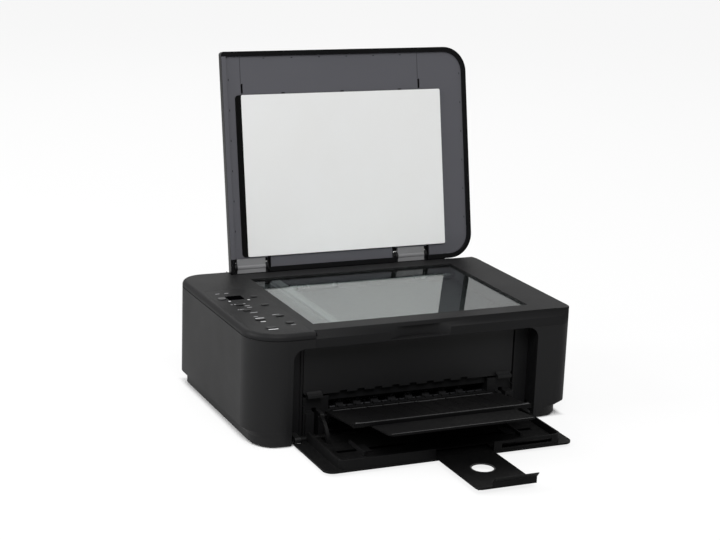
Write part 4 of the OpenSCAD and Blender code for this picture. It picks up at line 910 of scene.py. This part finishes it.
class BarGrid:
    """A Geometry Nodes tree that lays small bars in a grid: ticks, clips and marks."""

    def __init__(self) -> None:
        """Build the tree."""
        graph, given, gives = new_group("bar_grid", "GeometryNodeTree", {
            "Geometry": (Socket.GEOMETRY, None), "Columns": (Socket.COUNT, 4), "Rows": (Socket.COUNT, 1),
            "Column Pitch": (Socket.VALUE, 0.01), "Row Pitch": (Socket.VALUE, 0.01),
            "Length": (Socket.VALUE, 0.004), "Width": (Socket.VALUE, 0.001), "Height": (Socket.VALUE, 0.0002),
            "Finish": (Socket.MATERIAL, None)}, {"Geometry": Socket.GEOMETRY})
        wide, tall = (graph.math("MULTIPLY", graph.math("SUBTRACT", given[count], 1.0), given[pitch])
                      for count, pitch in (("Columns", "Column Pitch"), ("Rows", "Row Pitch")))
        grid = graph.add("GeometryNodeMeshGrid", {}, {"Size X": wide, "Size Y": tall,
                                                      "Vertices X": given["Columns"],
                                                      "Vertices Y": given["Rows"]})
        size = graph.vector(given["Length"], given["Width"], given["Height"])
        cube = graph.add("GeometryNodeMeshCube", {}, {"Size": size})
        spots = graph.add("GeometryNodeInstanceOnPoints", {}, {"Points": grid.outputs["Mesh"],
                                                               "Instance": cube.outputs["Mesh"]})
        real = graph.add("GeometryNodeRealizeInstances", {}, {0: spots.outputs[0]})
        dressed = graph.add("GeometryNodeSetMaterial", {}, {"Geometry": real.outputs[0],
                                                            "Material": given["Finish"]})
        graph.link(dressed.outputs[0], gives["Geometry"])
        self.tree = graph.tree
        self.ids = {item.name: item.identifier for item in self.tree.interface.items_tree
                    if item.in_out == "INPUT"}

    def make(self, name: str, material: Material, size: Triple, place: Matrix,
             count: tuple[int, int] = (1, 1), pitch: Pair = (0.0, 0.0)) -> Object:
        """Lay bars in a grid.

        Args:
            name: the piece's name.
            material: its material.
            size: length, width and height of one bar.
            place: where the grid's middle goes.
            count: columns and rows.
            pitch: distance between columns and between rows.

        Returns:
            The piece as a plain mesh.
        """
        carrier = link_object(name + "_source", bpy.data.meshes.new(name))
        modifier = carrier.modifiers.new("pattern", "NODES")
        modifier.node_group = self.tree
        labels = ("Columns", "Rows", "Column Pitch", "Row Pitch", "Length", "Width", "Height", "Finish")
        for label, value in zip(labels, (*count, *pitch, *size, material)):
            modifier[self.ids[label]] = value
        return plain_mesh(carrier, name, place)


# ---------------------------------------------------------------- sub-assemblies

HINGE_CENTRES = (-117 * MM, 125 * MM)


@dataclass
class SubAssembly:
    """Pieces that are made and dressed together."""

    finishes: Finishes
    bars: BarGrid

    def dress(self, piece: Object, finish: Finish, body: str, slot: str) -> None:
        """Give a piece its finish and its place among the printer's bodies.

        Args:
            piece: the piece, at the origin.
            finish: its finish.
            body: the body it rides on.
            slot: the node whose finish slot it shares; not used.
        """
        piece.data.materials.clear()
        piece.data.materials.append(self.finishes.get(finish))
        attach(piece, body)
        log.info("made %s on %s", piece.name, body)

    def build(self) -> None:
        """Make every piece."""
        raise NotImplementedError


@dataclass
class DeckShell(SubAssembly):
    """The top cover with its rounded shoulder, the groove under it and the line above its front slope."""

    front_corner: float = 45 * MM
    rear_corner: float = 35 * MM
    shoulder: float = 6 * MM
    band: float = 9 * MM
    band_left: float = -141 * MM
    band_wrap: float = 14 * MM
    step_left: float = -149 * MM
    slope: float = 8.6 * MM
    groove_below: float = 0.5 * MM
    groove_height: float = 1.2 * MM
    groove_depth: float = 0.9 * MM
    line_width: float = 0.9 * MM
    clear: float = 1 * MM
    arc_steps: int = 14
    round_steps: int = 8
    smooth_degrees: float = 32

    def __post_init__(self) -> None:
        """Take the top cover's box."""
        self.low, self.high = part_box("top_cover")

    def build(self) -> None:
        """Cut the shoulder and the grooves from a copy of the top cover and put it in the cover's place."""
        cutters = [self.shoulder_cutter(), self.groove_cutter(), self.line_cutter()]
        carrier = link_object("deck_source", frame["nodes"]["top_cover"].data.copy())
        for cutter in cutters:
            cut = carrier.modifiers.new("cut", "BOOLEAN")
            cut.operation = "DIFFERENCE"
            cut.solver = "EXACT"
            cut.object = cutter
        piece = plain_mesh(carrier, "deck_shell")
        for cutter in cutters:
            bpy.data.objects.remove(cutter)
        shade_round_faces(piece, self.smooth_degrees)
        self.dress(piece, DECK, "casing", "top_cover")
        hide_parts("top_cover")

    def corner(self, x: float, y: float, radius: float, start: float) -> Path:
        """Lay out a corner that turns clockwise through a right angle, at the deck's height.

        Args:
            x: the arc's centre across the deck.
            y: the arc's centre from front to rear.
            radius: the arc's radius.
            start: where the arc starts, in degrees.

        Returns:
            Points and outward normals.
        """
        path = []
        for i in range(self.arc_steps + 1):
            turn = math.radians(start - 90 * i / self.arc_steps)
            out = Vector((math.cos(turn), math.sin(turn), 0))
            path.append((Vector((x, y, self.high.z)) + radius * out, out))
        return path

    def left_path(self) -> Path:
        """Lay out the deck's edge from the front band round the left side to the rear.

        Returns:
            Points and outward normals.
        """
        front, rear, low, high = self.front_corner, self.rear_corner, self.low, self.high
        return [(Vector((self.band_left, low.y, high.z)), Vector((0, -1, 0))),
                *self.corner(low.x + front, low.y + front, front, 270),
                *self.corner(low.x + rear, high.y - rear, rear, 180)]

    def sweep(self, name: str, path: Path, profile: Outline) -> Object:
        """Sweep a closed profile along a path.

        Args:
            name: the new object's name.
            path: points and outward normals.
            profile: inward distance and height of each corner.

        Returns:
            The closed solid as an object.
        """
        bm = bmesh.new()
        join_rings(bm, [[p - n * inward + Vector((0, 0, height)) for inward, height in profile]
                        for p, n in path])
        return finish_mesh(bm, name)

    def shoulder_cutter(self) -> Object:
        """Make the solid outside the rounded edge of the deck's left side, up to the rear step.

        Returns:
            The cutter.
        """
        r, out = self.shoulder, self.clear
        turns = [math.radians(90 * i / self.round_steps) for i in range(self.round_steps + 1)]
        arc = [(r - r * math.cos(a), -r + r * math.sin(a)) for a in turns]
        step = (Vector((self.step_left, self.high.y, self.high.z)), Vector((0, 1, 0)))
        return self.sweep("shoulder_cutter", [*self.left_path(), step],
                          [(-out, -r), *arc, (r, out), (-out, out)])

    def groove_cutter(self) -> Object:
        """Make the ring that leaves a groove where the cover meets the casing.

        Returns:
            The cutter.
        """
        bottom, top = -self.band - self.groove_below, -self.band + self.groove_height
        rear, high = self.rear_corner, self.high
        front_end = (Vector((high.x, self.low.y + self.band_wrap + self.clear, high.z)), Vector((1, 0, 0)))
        path = [*self.left_path(), *self.corner(high.x - rear, high.y - rear, rear, 90), front_end]
        return self.sweep("groove_cutter", path, [(-self.clear, bottom), (self.groove_depth, bottom),
                                                  (self.groove_depth, top), (-self.clear, top)])

    def line_cutter(self) -> Object:
        """Make the bar that leaves a line between the deck and its front slope.

        Returns:
            The cutter.
        """
        y, high = self.low.y + self.slope, self.high
        bm = bmesh.new()
        block(bm, (self.band_left, y, high.z - self.line_width),
              (high.x - self.front_corner / 2, y + self.line_width, high.z + self.clear))
        return finish_mesh(bm, "line_cutter")


@dataclass
class DocumentPad(SubAssembly):
    """Foam and white sheet inside the lid, drawn shut and then turned open with it."""

    sheet_corner: float = 2.0 * MM
    sheet_edge: float = 0.25 * MM
    sheet_steps: int = 2
    foam_corner: float = 5.0 * MM
    foam_edge: float = 0.7 * MM
    foam_steps: int = 3

    def __post_init__(self) -> None:
        """Take the lid's hinge and how far the lid turns from rest until it is shut."""
        hinge = next(joint for joint in frame["joints"] if joint["name"] == "lid_hinge")
        self.pivot = Vector(hinge["pos_m"])
        turn = Matrix.Rotation(math.radians(hinge["range_deg"][1]), 4, Vector(hinge["axis"]))
        self.shut = Matrix.Translation(self.pivot) @ turn @ Matrix.Translation(-self.pivot)
        self.opened = self.shut.inverted()

    def shut_box(self, node: str) -> Box:
        """Measure a node of the lid with the lid shut.

        Args:
            node: the node's name.

        Returns:
            Its lowest and highest corner.
        """
        points = [self.shut @ v.co for v in frame["nodes"][node].data.vertices]
        low, high = (Vector(pick(p[i] for p in points) for i in range(3)) for pick in (min, max))
        return low, high

    def layer(self, node: str, name: str, corner: float, edge: float, segments: int) -> Object:
        """Make one layer of the pad, as large as its node.

        Args:
            node: the node that it stands for.
            name: the piece's name.
            corner: radius of its corners in plan.
            edge: width of its rounded edges.
            segments: steps of that rounding.

        Returns:
            The layer, turned open with the lid.
        """
        low, high = self.shut_box(node)
        bm = bmesh.new()
        slab(bm, rounded_outline(high.x - low.x, high.y - low.y, corner), low.z, high.z,
             ((low.x + high.x) / 2, (low.y + high.y) / 2))
        bevel_rim(bm, edge, segments)
        return finish_mesh(bm, name, self.opened)

    def build(self) -> None:
        """Make the foam and the sheet."""
        piece = self.layer("pad_foam", "document_pad_foam", self.foam_corner, self.foam_edge,
                           self.foam_steps)
        self.dress(piece, FOAM, "lid", "pad_foam")
        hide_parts("pad_foam")
        piece = self.layer("pad_sheet", "document_pad_sheet", self.sheet_corner, self.sheet_edge,
                           self.sheet_steps)
        self.dress(piece, SHEET, "lid", "pad_sheet")
        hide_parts("pad_sheet")


@dataclass
class LidTrim(SubAssembly):
    """Small things on the lid's inner face: left margin, flaps over the arms, lines, ticks and clips."""

    pad: DocumentPad
    margin: float = 6.2 * MM
    rim: float = 6.5 * MM
    skin: float = 0.15 * MM
    flap_half: float = 25 * MM
    flap_y: Pair = (-27 * MM, -12 * MM)
    line_inset: Pair = (1 * MM, 33 * MM)
    line_half: float = 0.5 * MM
    line_proud: float = 0.05 * MM
    line_end: float = 16 * MM
    tick: Triple = (2.6 * MM, 0.9 * MM, 0.06 * MM)
    tick_inset: float = 3 * MM
    tick_pitch: float = 41 * MM
    tick_ends: float = 60 * MM
    tick_shift: Pair = (-20 * MM, -10 * MM)
    front_ticks: int = 6
    clips: int = 3
    clip: Triple = (4.5 * MM, 1.6 * MM, 1.4 * MM)
    clip_pitch: float = 88 * MM
    clip_place: Triple = (150 * MM, -1.2 * MM, -0.8 * MM)

    def __post_init__(self) -> None:
        """Take the shut lid's boxes."""
        self.shell = self.pad.shut_box("lid_shell")
        self.lining = self.pad.shut_box("lid_lining")
        self.sheet = self.pad.shut_box("pad_sheet")

    def build(self) -> None:
        """Make every piece in the shut lid's place and turn it open."""
        self.left_margin()
        self.flaps()
        self.lines()
        self.ticks()

    def finish(self, bm: BMesh, name: str, finish: Finish) -> None:
        """Turn a piece open with the lid and let it ride on it."""
        self.dress(finish_mesh(bm, name, self.pad.opened), finish, "lid", "lid_lining")

    def left_margin(self) -> None:
        """Make the lining's margin over the shell's left rim."""
        low = self.shell[0]
        right = low.x + self.rim
        bm = bmesh.new()
        block(bm, (right - self.margin, low.y + self.rim, low.z - self.skin),
              (right + self.skin, self.pad.pivot.y + self.flap_y[1], low.z + self.skin))
        bevel_rim(bm, self.skin / 2, 1)
        self.finish(bm, "lining_left_margin", LINING_WITH_SHEEN)

    def flaps(self) -> None:
        """Make the two flaps of the lining that lie over the roots of the hinge arms."""
        front, rear = (self.pad.pivot.y + y for y in self.flap_y)
        face = self.lining[0].z
        bm = bmesh.new()
        for x in HINGE_CENTRES:
            left = max(x - self.flap_half, self.shell[0].x + self.rim)
            block(bm, (left, front, face - 2 * self.skin), (x + self.flap_half, rear, face + self.skin))
        bevel_rim(bm, self.skin / 2, 1)
        self.finish(bm, "lining_hinge_flaps", LINING_WITH_SHEEN)

    def lines(self) -> None:
        """Make the two faint lines that run from the lining's slots to its front edge."""
        low = self.lining[0]
        bm = bmesh.new()
        for x in (self.sheet[0].x + self.line_inset[0], self.sheet[1].x - self.line_inset[1]):
            block(bm, (x - self.line_half, low.y + self.line_half, low.z - self.line_proud),
                  (x + self.line_half, self.sheet[0].y - self.line_end, low.z + self.line_proud))
        self.finish(bm, "lining_slot_lines", LINE)

    def ticks(self) -> None:
        """Lay the near-black bars that paint the shade of the snap recesses along the lining's edges, and the
        clips at the pad's front edge in the same near-black.
        """
        low, high = self.lining
        length, width, height = self.tick
        pitch, inset = self.tick_pitch, self.tick_inset
        side_y = (low.y + high.y) / 2 + self.tick_shift[1]
        front_x = (low.x + high.x) / 2 + self.tick_shift[0]
        face = low.z - height / 2
        upright = (width, length, height)
        rows = (1, round((high.y - low.y - self.tick_ends) / pitch))
        clip_spot = Vector((self.sheet[0].x, self.sheet[0].y, low.z)) + Vector(self.clip_place)
        grids = (
            ("lining_ticks_left", upright, (low.x + inset, side_y, face), rows, (0.0, pitch)),
            ("lining_ticks_right", upright, (high.x - inset, side_y, face), rows, (0.0, pitch)),
            ("lining_ticks_front", self.tick, (front_x, low.y + inset, face), (self.front_ticks, 1),
             (pitch, 0.0)),
            ("pad_clips", self.clip, clip_spot, (self.clips, 1), (self.clip_pitch, 0.0)),
        )
        for name, size, spot, count, step in grids:
            place = self.pad.opened @ Matrix.Translation(spot)
            piece = self.bars.make(name, self.finishes.get(SHADE), size, place, count, step)
            self.dress(piece, SHADE, "lid", "lid_lining")


@dataclass
class HingeTrim(SubAssembly):
    """Round bosses about the hinge pins and the low rim along the deck's rear step."""

    pivot: Vector
    boss_offset: float = 22.6 * MM
    boss_radius: float = 6.2 * MM
    boss_length: float = 3.6 * MM
    edge: float = 0.4 * MM
    smooth_degrees: float = 35
    rim_low: Triple = (-147 * MM, 150.0 * MM, 140.2 * MM)
    rim_high: Triple = (185 * MM, 151.8 * MM, 144.5 * MM)

    def build(self) -> None:
        """Make the bosses about the lid's pivot, and the rim."""
        bm = bmesh.new()
        for x in HINGE_CENTRES:
            for side in (-1, 1):
                centre = Vector((x + side * self.boss_offset, self.pivot.y, self.pivot.z))
                disc_x(bm, centre, self.boss_radius, self.boss_length)
        bevel_rim(bm, self.edge)
        bosses = finish_mesh(bm, "hinge_bosses")
        shade_round_faces(bosses, self.smooth_degrees)
        self.dress(bosses, BAY, "casing", "hinge_brackets")
        bm = bmesh.new()
        block(bm, self.rim_low, self.rim_high)
        bevel_rim(bm, self.edge)
        self.dress(finish_mesh(bm, "deck_rear_rim"), DECK, "casing", "top_cover")


@dataclass
class TrayTrim(SubAssembly):
    """Lips, corner blocks and the finger hole's collar on the trays and the paper support, in a light grey
    that paints their edge highlights.
    """

    sunk: float = 0.1 * MM
    lip_width: float = 1.1 * MM
    lip_height: float = 0.7 * MM
    rear_lip: float = 9.5 * MM
    rear_half: float = 112 * MM
    front_lip: float = 1.4 * MM
    front_ends: float = 9 * MM
    tab_x: float = 18 * MM
    tab_half: float = 13 * MM
    tab_shift: float = 2 * MM
    tab_width: float = 2.4 * MM
    tab_height: float = 1.04 * MM
    block_inset: float = 16.6 * MM
    block_half: float = 7 * MM
    block_shift: float = 1.6 * MM
    block_width: float = 2.6 * MM
    block_height: float = 1.08 * MM
    edge: float = 0.2 * MM
    extension_ends: float = 3 * MM
    extension_lip: float = 1.0 * MM
    extension_height: float = 0.3 * MM
    extension_edge: float = 0.04 * MM
    hole_radius: float = 13.7 * MM
    collar_profile: tuple[Pair, ...] = ((0.0, -0.1), (0.0, 0.04), (0.5, 0.06), (1.3, 0.04), (1.8, -0.1))
    collar_steps: int = 48
    collar_outside: float = 2 * MM
    smooth_degrees: float = 50

    def build(self) -> None:
        """Make the lips of both trays and the collar."""
        self.tray_lips()
        self.extension()
        self.collar()

    def tray_lips(self) -> None:
        """Make the output tray's two lips, its tab and its corner blocks, light grey as painted highlights.
        """
        low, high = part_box("output_tray")
        rear_y, front_y = high.y - self.rear_lip, low.y + self.front_lip
        block_y = front_y + self.block_shift
        lips = [(-self.rear_half, self.rear_half, rear_y, self.lip_width, self.lip_height),
                (low.x + self.front_ends, high.x - self.front_ends, front_y, self.lip_width, self.lip_height),
                (self.tab_x - self.tab_half, self.tab_x + self.tab_half, rear_y - self.tab_shift,
                 self.tab_width, self.tab_height)]
        lips += [(x - self.block_half, x + self.block_half, block_y, self.block_width, self.block_height)
                 for x in (low.x + self.block_inset, high.x - self.block_inset)]
        bm = bmesh.new()
        for left, right, y, width, height in lips:
            self.lip(bm, "output_tray", (left, right), y, width, height)
        bevel_rim(bm, self.edge, 1)
        self.dress(finish_mesh(bm, "output_tray_lips"), HIGHLIGHT_TRIM, "output_tray", "output_tray")

    def extension(self) -> None:
        """Make the lip of the tray's extension, light grey as a painted highlight."""
        low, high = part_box("tray_extension")
        bm = bmesh.new()
        self.lip(bm, "tray_extension", (low.x + self.extension_ends, high.x - self.extension_ends),
                 low.y + self.extension_lip, self.lip_width, self.extension_height)
        bevel_rim(bm, self.extension_edge, 1)
        self.dress(finish_mesh(bm, "extension_lip"), HIGHLIGHT_TRIM, "tray_extension", "tray_extension")

    def lip(self, bm: BMesh, node: str, span: Pair, y: float, width: float, height: float) -> None:
        """Add a low bar across a tray's top face.

        Args:
            bm: mesh that the bar goes into.
            node: the tray.
            span: where the bar starts and ends along X.
            y: where it lies along Y.
            width: its width.
            height: its height, of which the part that is sunk lies in the tray.
        """
        start, end = (surface_point(node, x, y) - Vector((0, 0, self.sunk)) for x in span)
        bar(bm, start, end, width, height)

    def collar(self) -> None:
        """Make the raised collar round the support's finger hole, light grey as a painted highlight."""
        opening = next(o for o in frame["record"]["physics"]["openings"] if "finger" in o["name"])
        low, high = (Vector(corner) for corner in opening["box_m"])
        centre = (low + high) / 2
        face = surface_point("paper_support", centre.x - self.hole_radius - self.collar_outside, centre.y).z
        turns = [math.radians(360 * i / self.collar_steps) for i in range(self.collar_steps)]
        rings = []
        for out, height in self.collar_profile:
            radius = self.hole_radius + out * MM
            rings.append([Vector((centre.x + radius * math.cos(a), centre.y + radius * math.sin(a),
                                  face + height * MM)) for a in turns])
        bm = bmesh.new()
        join_rings(bm, rings, capped=False)
        piece = finish_mesh(bm, "finger_hole_collar")
        shade_round_faces(piece, self.smooth_degrees)
        self.dress(piece, HIGHLIGHT_TRIM, "paper_support", "paper_support")


@dataclass(frozen=True)
class Marks:
    """Equal bars on the control panel: their middle, the size of one, and how many, in millimetres."""

    name: str
    finish: Finish
    at: Pair
    size: Pair
    count: tuple[int, int] = (1, 1)
    pitch: Pair = (0, 0)


@dataclass
class PanelMarks(SubAssembly):
    """Display window, plain bars and dots on the control panel."""

    proud: float = 0.06 * MM
    window_size: Pair = (21 * MM, 18 * MM)
    window_corner: float = 1.2 * MM
    window_middle: Pair = (-183.5 * MM, 22 * MM)
    window_depths: Pair = (0.1 * MM, 0.02 * MM)
    key_bar: Pair = (11 * MM, 1.8 * MM)
    key_bar_inset: float = 2 * MM
    marks: tuple[Marks, ...] = (
        Marks("start_bar_front", MARK, (-186.2, -124), (12.8, 2.6)),
        Marks("start_bar_small", MARK, (-186.5, -89.7), (6.6, 2.3)),
        Marks("ready_marks", MARK, (-182.4, 8.6), (3.3, 2.9), (2, 1), (26, 0)),
        Marks("level_bars", DIM_MARK, (-184, -7.3), (8.6, 2)),
        Marks("level_dots", DIM_MARK, (-196, -7.3), (2.6, 2), (2, 1), (4.6, 0)),
        Marks("paper_bars", DIM_MARK, (-180.8, -21.1), (6.5, 2), (1, 2), (0, 8)),
        Marks("paper_dots", DIM_MARK, (-194.6, -31.6), (2.2, 2), (3, 1), (3.2, 0)),
        Marks("fit_bar", DIM_MARK, (-183.7, -48.8), (9.6, 2)),
        Marks("quality_bar", DIM_MARK, (-187.6, -66.4), (5.3, 2)),
        Marks("scan_bar_mark", DIM_MARK, (-160.4, -65.2), (9.6, 2)),
        Marks("stop_bars", DIM_MARK, (-155.4, -106), (6.4, 2), (1, 2), (0, 13.4)),
        Marks("rear_bars", DIM_MARK, (-193, 45.4), (5.5, 2), (2, 1), (12.4, 0)),
        Marks("power_bar", DIM_MARK, (-199.7, 27.6), (8, 1.8)),
    )

    def build(self) -> None:
        """Make the window and the marks."""
        self.window()
        self.panel_marks()
        self.key_mark()

    def panel_marks(self) -> None:
        """Lay the bars and dots beside the keys."""
        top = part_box("control_panel")[1].z
        for marks in self.marks:
            place = Matrix.Translation((marks.at[0] * MM, marks.at[1] * MM, top + self.proud / 2))
            size = (marks.size[0] * MM, marks.size[1] * MM, self.proud)
            pitch = (marks.pitch[0] * MM, marks.pitch[1] * MM)
            material = self.finishes.get(marks.finish)
            piece = self.bars.make(marks.name, material, size, place, marks.count, pitch)
            self.dress(piece, marks.finish, "casing", "control_panel")

    def window(self) -> None:
        """Make the dark window over the display."""
        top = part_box("control_panel")[1].z
        bm = bmesh.new()
        slab(bm, rounded_outline(*self.window_size, self.window_corner), top - self.window_depths[0],
             top - self.window_depths[1], self.window_middle)
        self.dress(finish_mesh(bm, "display_window"), SCREEN, "casing", "panel_board")

    def key_mark(self) -> None:
        """Lay the bar on the start key for black copies."""
        low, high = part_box("black_button")
        spot = ((low.x + high.x) / 2, high.y - self.key_bar_inset, high.z + self.proud / 2)
        size, place = (*self.key_bar, self.proud), Matrix.Translation(spot)
        piece = self.bars.make("black_key_bar", self.finishes.get(MARK), size, place)
        self.dress(piece, MARK, "black_button", "black_button")


# ---------------------------------------------------------------- studio

@dataclass(frozen=True)
class Lamp:
    """A square soft lamp: its place, the height over the origin that it aims at, and its power in watts."""

    name: str
    place: Triple
    aim: float
    power: float
    size: float = 1.6

    def hang(self) -> None:
        """Hang the lamp and aim it."""
        data = bpy.data.lights.new(self.name, "AREA")
        data.shape = "SQUARE"
        data.size = self.size
        data.energy = self.power
        lamp = bpy.data.objects.new(self.name, data)
        lamp.location = self.place
        towards = Vector((0, 0, self.aim)) - Vector(self.place)
        lamp.rotation_euler = towards.to_track_quat("-Z", "Y").to_euler()
        bpy.context.scene.collection.objects.link(lamp)


@dataclass
class Studio:
    """Pale floor, soft lamps, surroundings and camera."""

    floor_size: float = 12.0
    floor_lit: float = 0.5
    floor_shown: float = 0.9
    floor_white: float = 0.84
    shade_edge: Pair = (-8 * MM, -1 * MM)
    door_shade: float = 20 * MM
    bright_side: Triple = (-0.25, 0.75, 0.61)
    side_range: Pair = (-0.45, 0.35)
    sky_range: Pair = (0.35, 0.95)
    dim: float = 0.12
    horizon: float = 0.5
    overhead: float = 0.75
    lamps: tuple[Lamp, ...] = (Lamp("front_softbox", (-0.6, -2.2, 2.6), 0.15, 66.0),
                               Lamp("left_softbox", (-2.6, 0.4, 1.5), 0.1, 52.0),
                               Lamp("rear_softbox", (0.5, 2.4, 2.2), 0.1, 11.0))
    eye: Triple = (-0.9097, -1.9616, 0.7387)
    yaw: float = 23.79
    pitch: float = 15.43
    roll: float = 1.94
    lens: float = 84.64
    sensor: float = 36.0
    shift: Pair = (0.0279, 0.0324)

    def build(self) -> None:
        """Make the whole studio, shown with the plain colour view."""
        bpy.context.scene.view_settings.view_transform = "Standard"
        self.world()
        self.floor()
        for lamp in self.lamps:
            lamp.hang()
        self.camera()

    def world(self) -> None:
        """White surroundings to the camera, softly graded for the rest."""
        world = bpy.data.worlds.new("studio")
        bpy.context.scene.world = world
        world.use_nodes = True
        graph = Graph(world.node_tree)
        graph.tree.nodes.clear()
        direction = graph.add("ShaderNodeTexCoord").outputs["Generated"]
        axis = graph.add("ShaderNodeVectorMath", {"operation": "DOT_PRODUCT"},
                         {0: direction, 1: Vector(self.bright_side)})
        behind = graph.remap(axis.outputs["Value"], *self.side_range, self.dim, self.horizon)
        above = graph.remap(graph.axes(direction)[2], *self.sky_range, 0.0, self.overhead - self.horizon)
        around, seen = (graph.add("ShaderNodeBackground", {}, {"Color": toned(WHITE), "Strength": level})
                        for level in (graph.math("ADD", behind, above), 1.0))
        mix = graph.mix_shader(graph.camera_ray(), around, seen)
        graph.add("ShaderNodeOutputWorld", {}, {"Surface": mix.outputs[0]})

    def floor(self) -> None:
        """Make the pale floor, white to the camera save for the printer's soft shadow."""
        half = self.floor_size / 2
        mesh = bpy.data.meshes.new("floor")
        mesh.from_pydata([(-half, -half, 0), (half, -half, 0), (half, half, 0), (-half, half, 0)], [],
                         [(0, 1, 2, 3)])
        floor = link_object("floor", mesh)
        material = bpy.data.materials.new("floor_white")
        material.use_nodes = True
        graph = Graph(material.node_tree)
        graph.tree.nodes.clear()
        lit, shown = (graph.add("ShaderNodeBsdfDiffuse", {}, {"Color": toned(WHITE, level)})
                      for level in (self.floor_lit, self.floor_shown))
        white = graph.add("ShaderNodeEmission", {}, {"Color": toned(WHITE), "Strength": 1.0})
        share = graph.math("MULTIPLY", self.outside_body(graph), self.floor_white)
        mix = graph.mix_shader(graph.camera_ray(), lit, graph.mix_shader(share, shown, white))
        graph.add("ShaderNodeOutputMaterial", {}, {"Surface": mix.outputs[0]})
        floor.data.materials.append(material)

    def outside_body(self, graph: Graph) -> NodeSocket:
        """Build the mask of the floor around the printer.

        Args:
            graph: the floor's nodes.

        Returns:
            0 under the base and at the door's rear edge, 1 elsewhere.
        """
        low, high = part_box("base_tub")
        door_low, door_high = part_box("front_door")
        x, y, _ = graph.axes(graph.place())
        masks = []
        for middle_y, half_x, half_y in ((0.0, (high.x - low.x) / 2, (high.y - low.y) / 2),
                                         (low.y, (door_high.x - door_low.x) / 2, self.door_shade)):
            across = graph.math("SUBTRACT", graph.math("ABSOLUTE", x), half_x)
            from_middle = graph.math("ABSOLUTE", graph.math("SUBTRACT", y, middle_y))
            reach = graph.math("MAXIMUM", across, graph.math("SUBTRACT", from_middle, half_y))
            masks.append(graph.remap(reach, *self.shade_edge, 0.0, 1.0))
        return graph.math("MINIMUM", *masks)

    def camera(self) -> None:
        """Stand the camera at its place."""
        yaw, pitch, roll = (math.radians(a) for a in (self.yaw, self.pitch, self.roll))
        ahead = Vector((math.sin(yaw) * math.cos(pitch), math.cos(yaw) * math.cos(pitch), -math.sin(pitch)))
        right = Vector((math.cos(yaw), -math.sin(yaw), 0))
        up = right.cross(ahead)
        across = math.cos(roll) * right + math.sin(roll) * up
        upward = -math.sin(roll) * right + math.cos(roll) * up
        data = bpy.data.cameras.new("camera")
        data.lens = self.lens
        data.sensor_width = self.sensor
        data.shift_x, data.shift_y = self.shift
        camera = bpy.data.objects.new("camera", data)
        turn = Matrix((across, upward, -ahead)).transposed().to_4x4()
        camera.matrix_world = Matrix.Translation(self.eye) @ turn
        bpy.context.scene.collection.objects.link(camera)
        bpy.context.scene.camera = camera


def main() -> None:
    """Build the studio, dress the frame and add the pieces that Blender makes."""
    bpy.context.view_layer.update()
    Studio().build()
    finishes = Finishes()
    finishes.dress_nodes()
    bars = BarGrid()
    pad = DocumentPad(finishes, bars)
    for group in (DeckShell(finishes, bars), pad, LidTrim(finishes, bars, pad),
                  HingeTrim(finishes, bars, pad.pivot), TrayTrim(finishes, bars), PanelMarks(finishes, bars)):
        group.build()


if __name__ == "__main__":
    main()
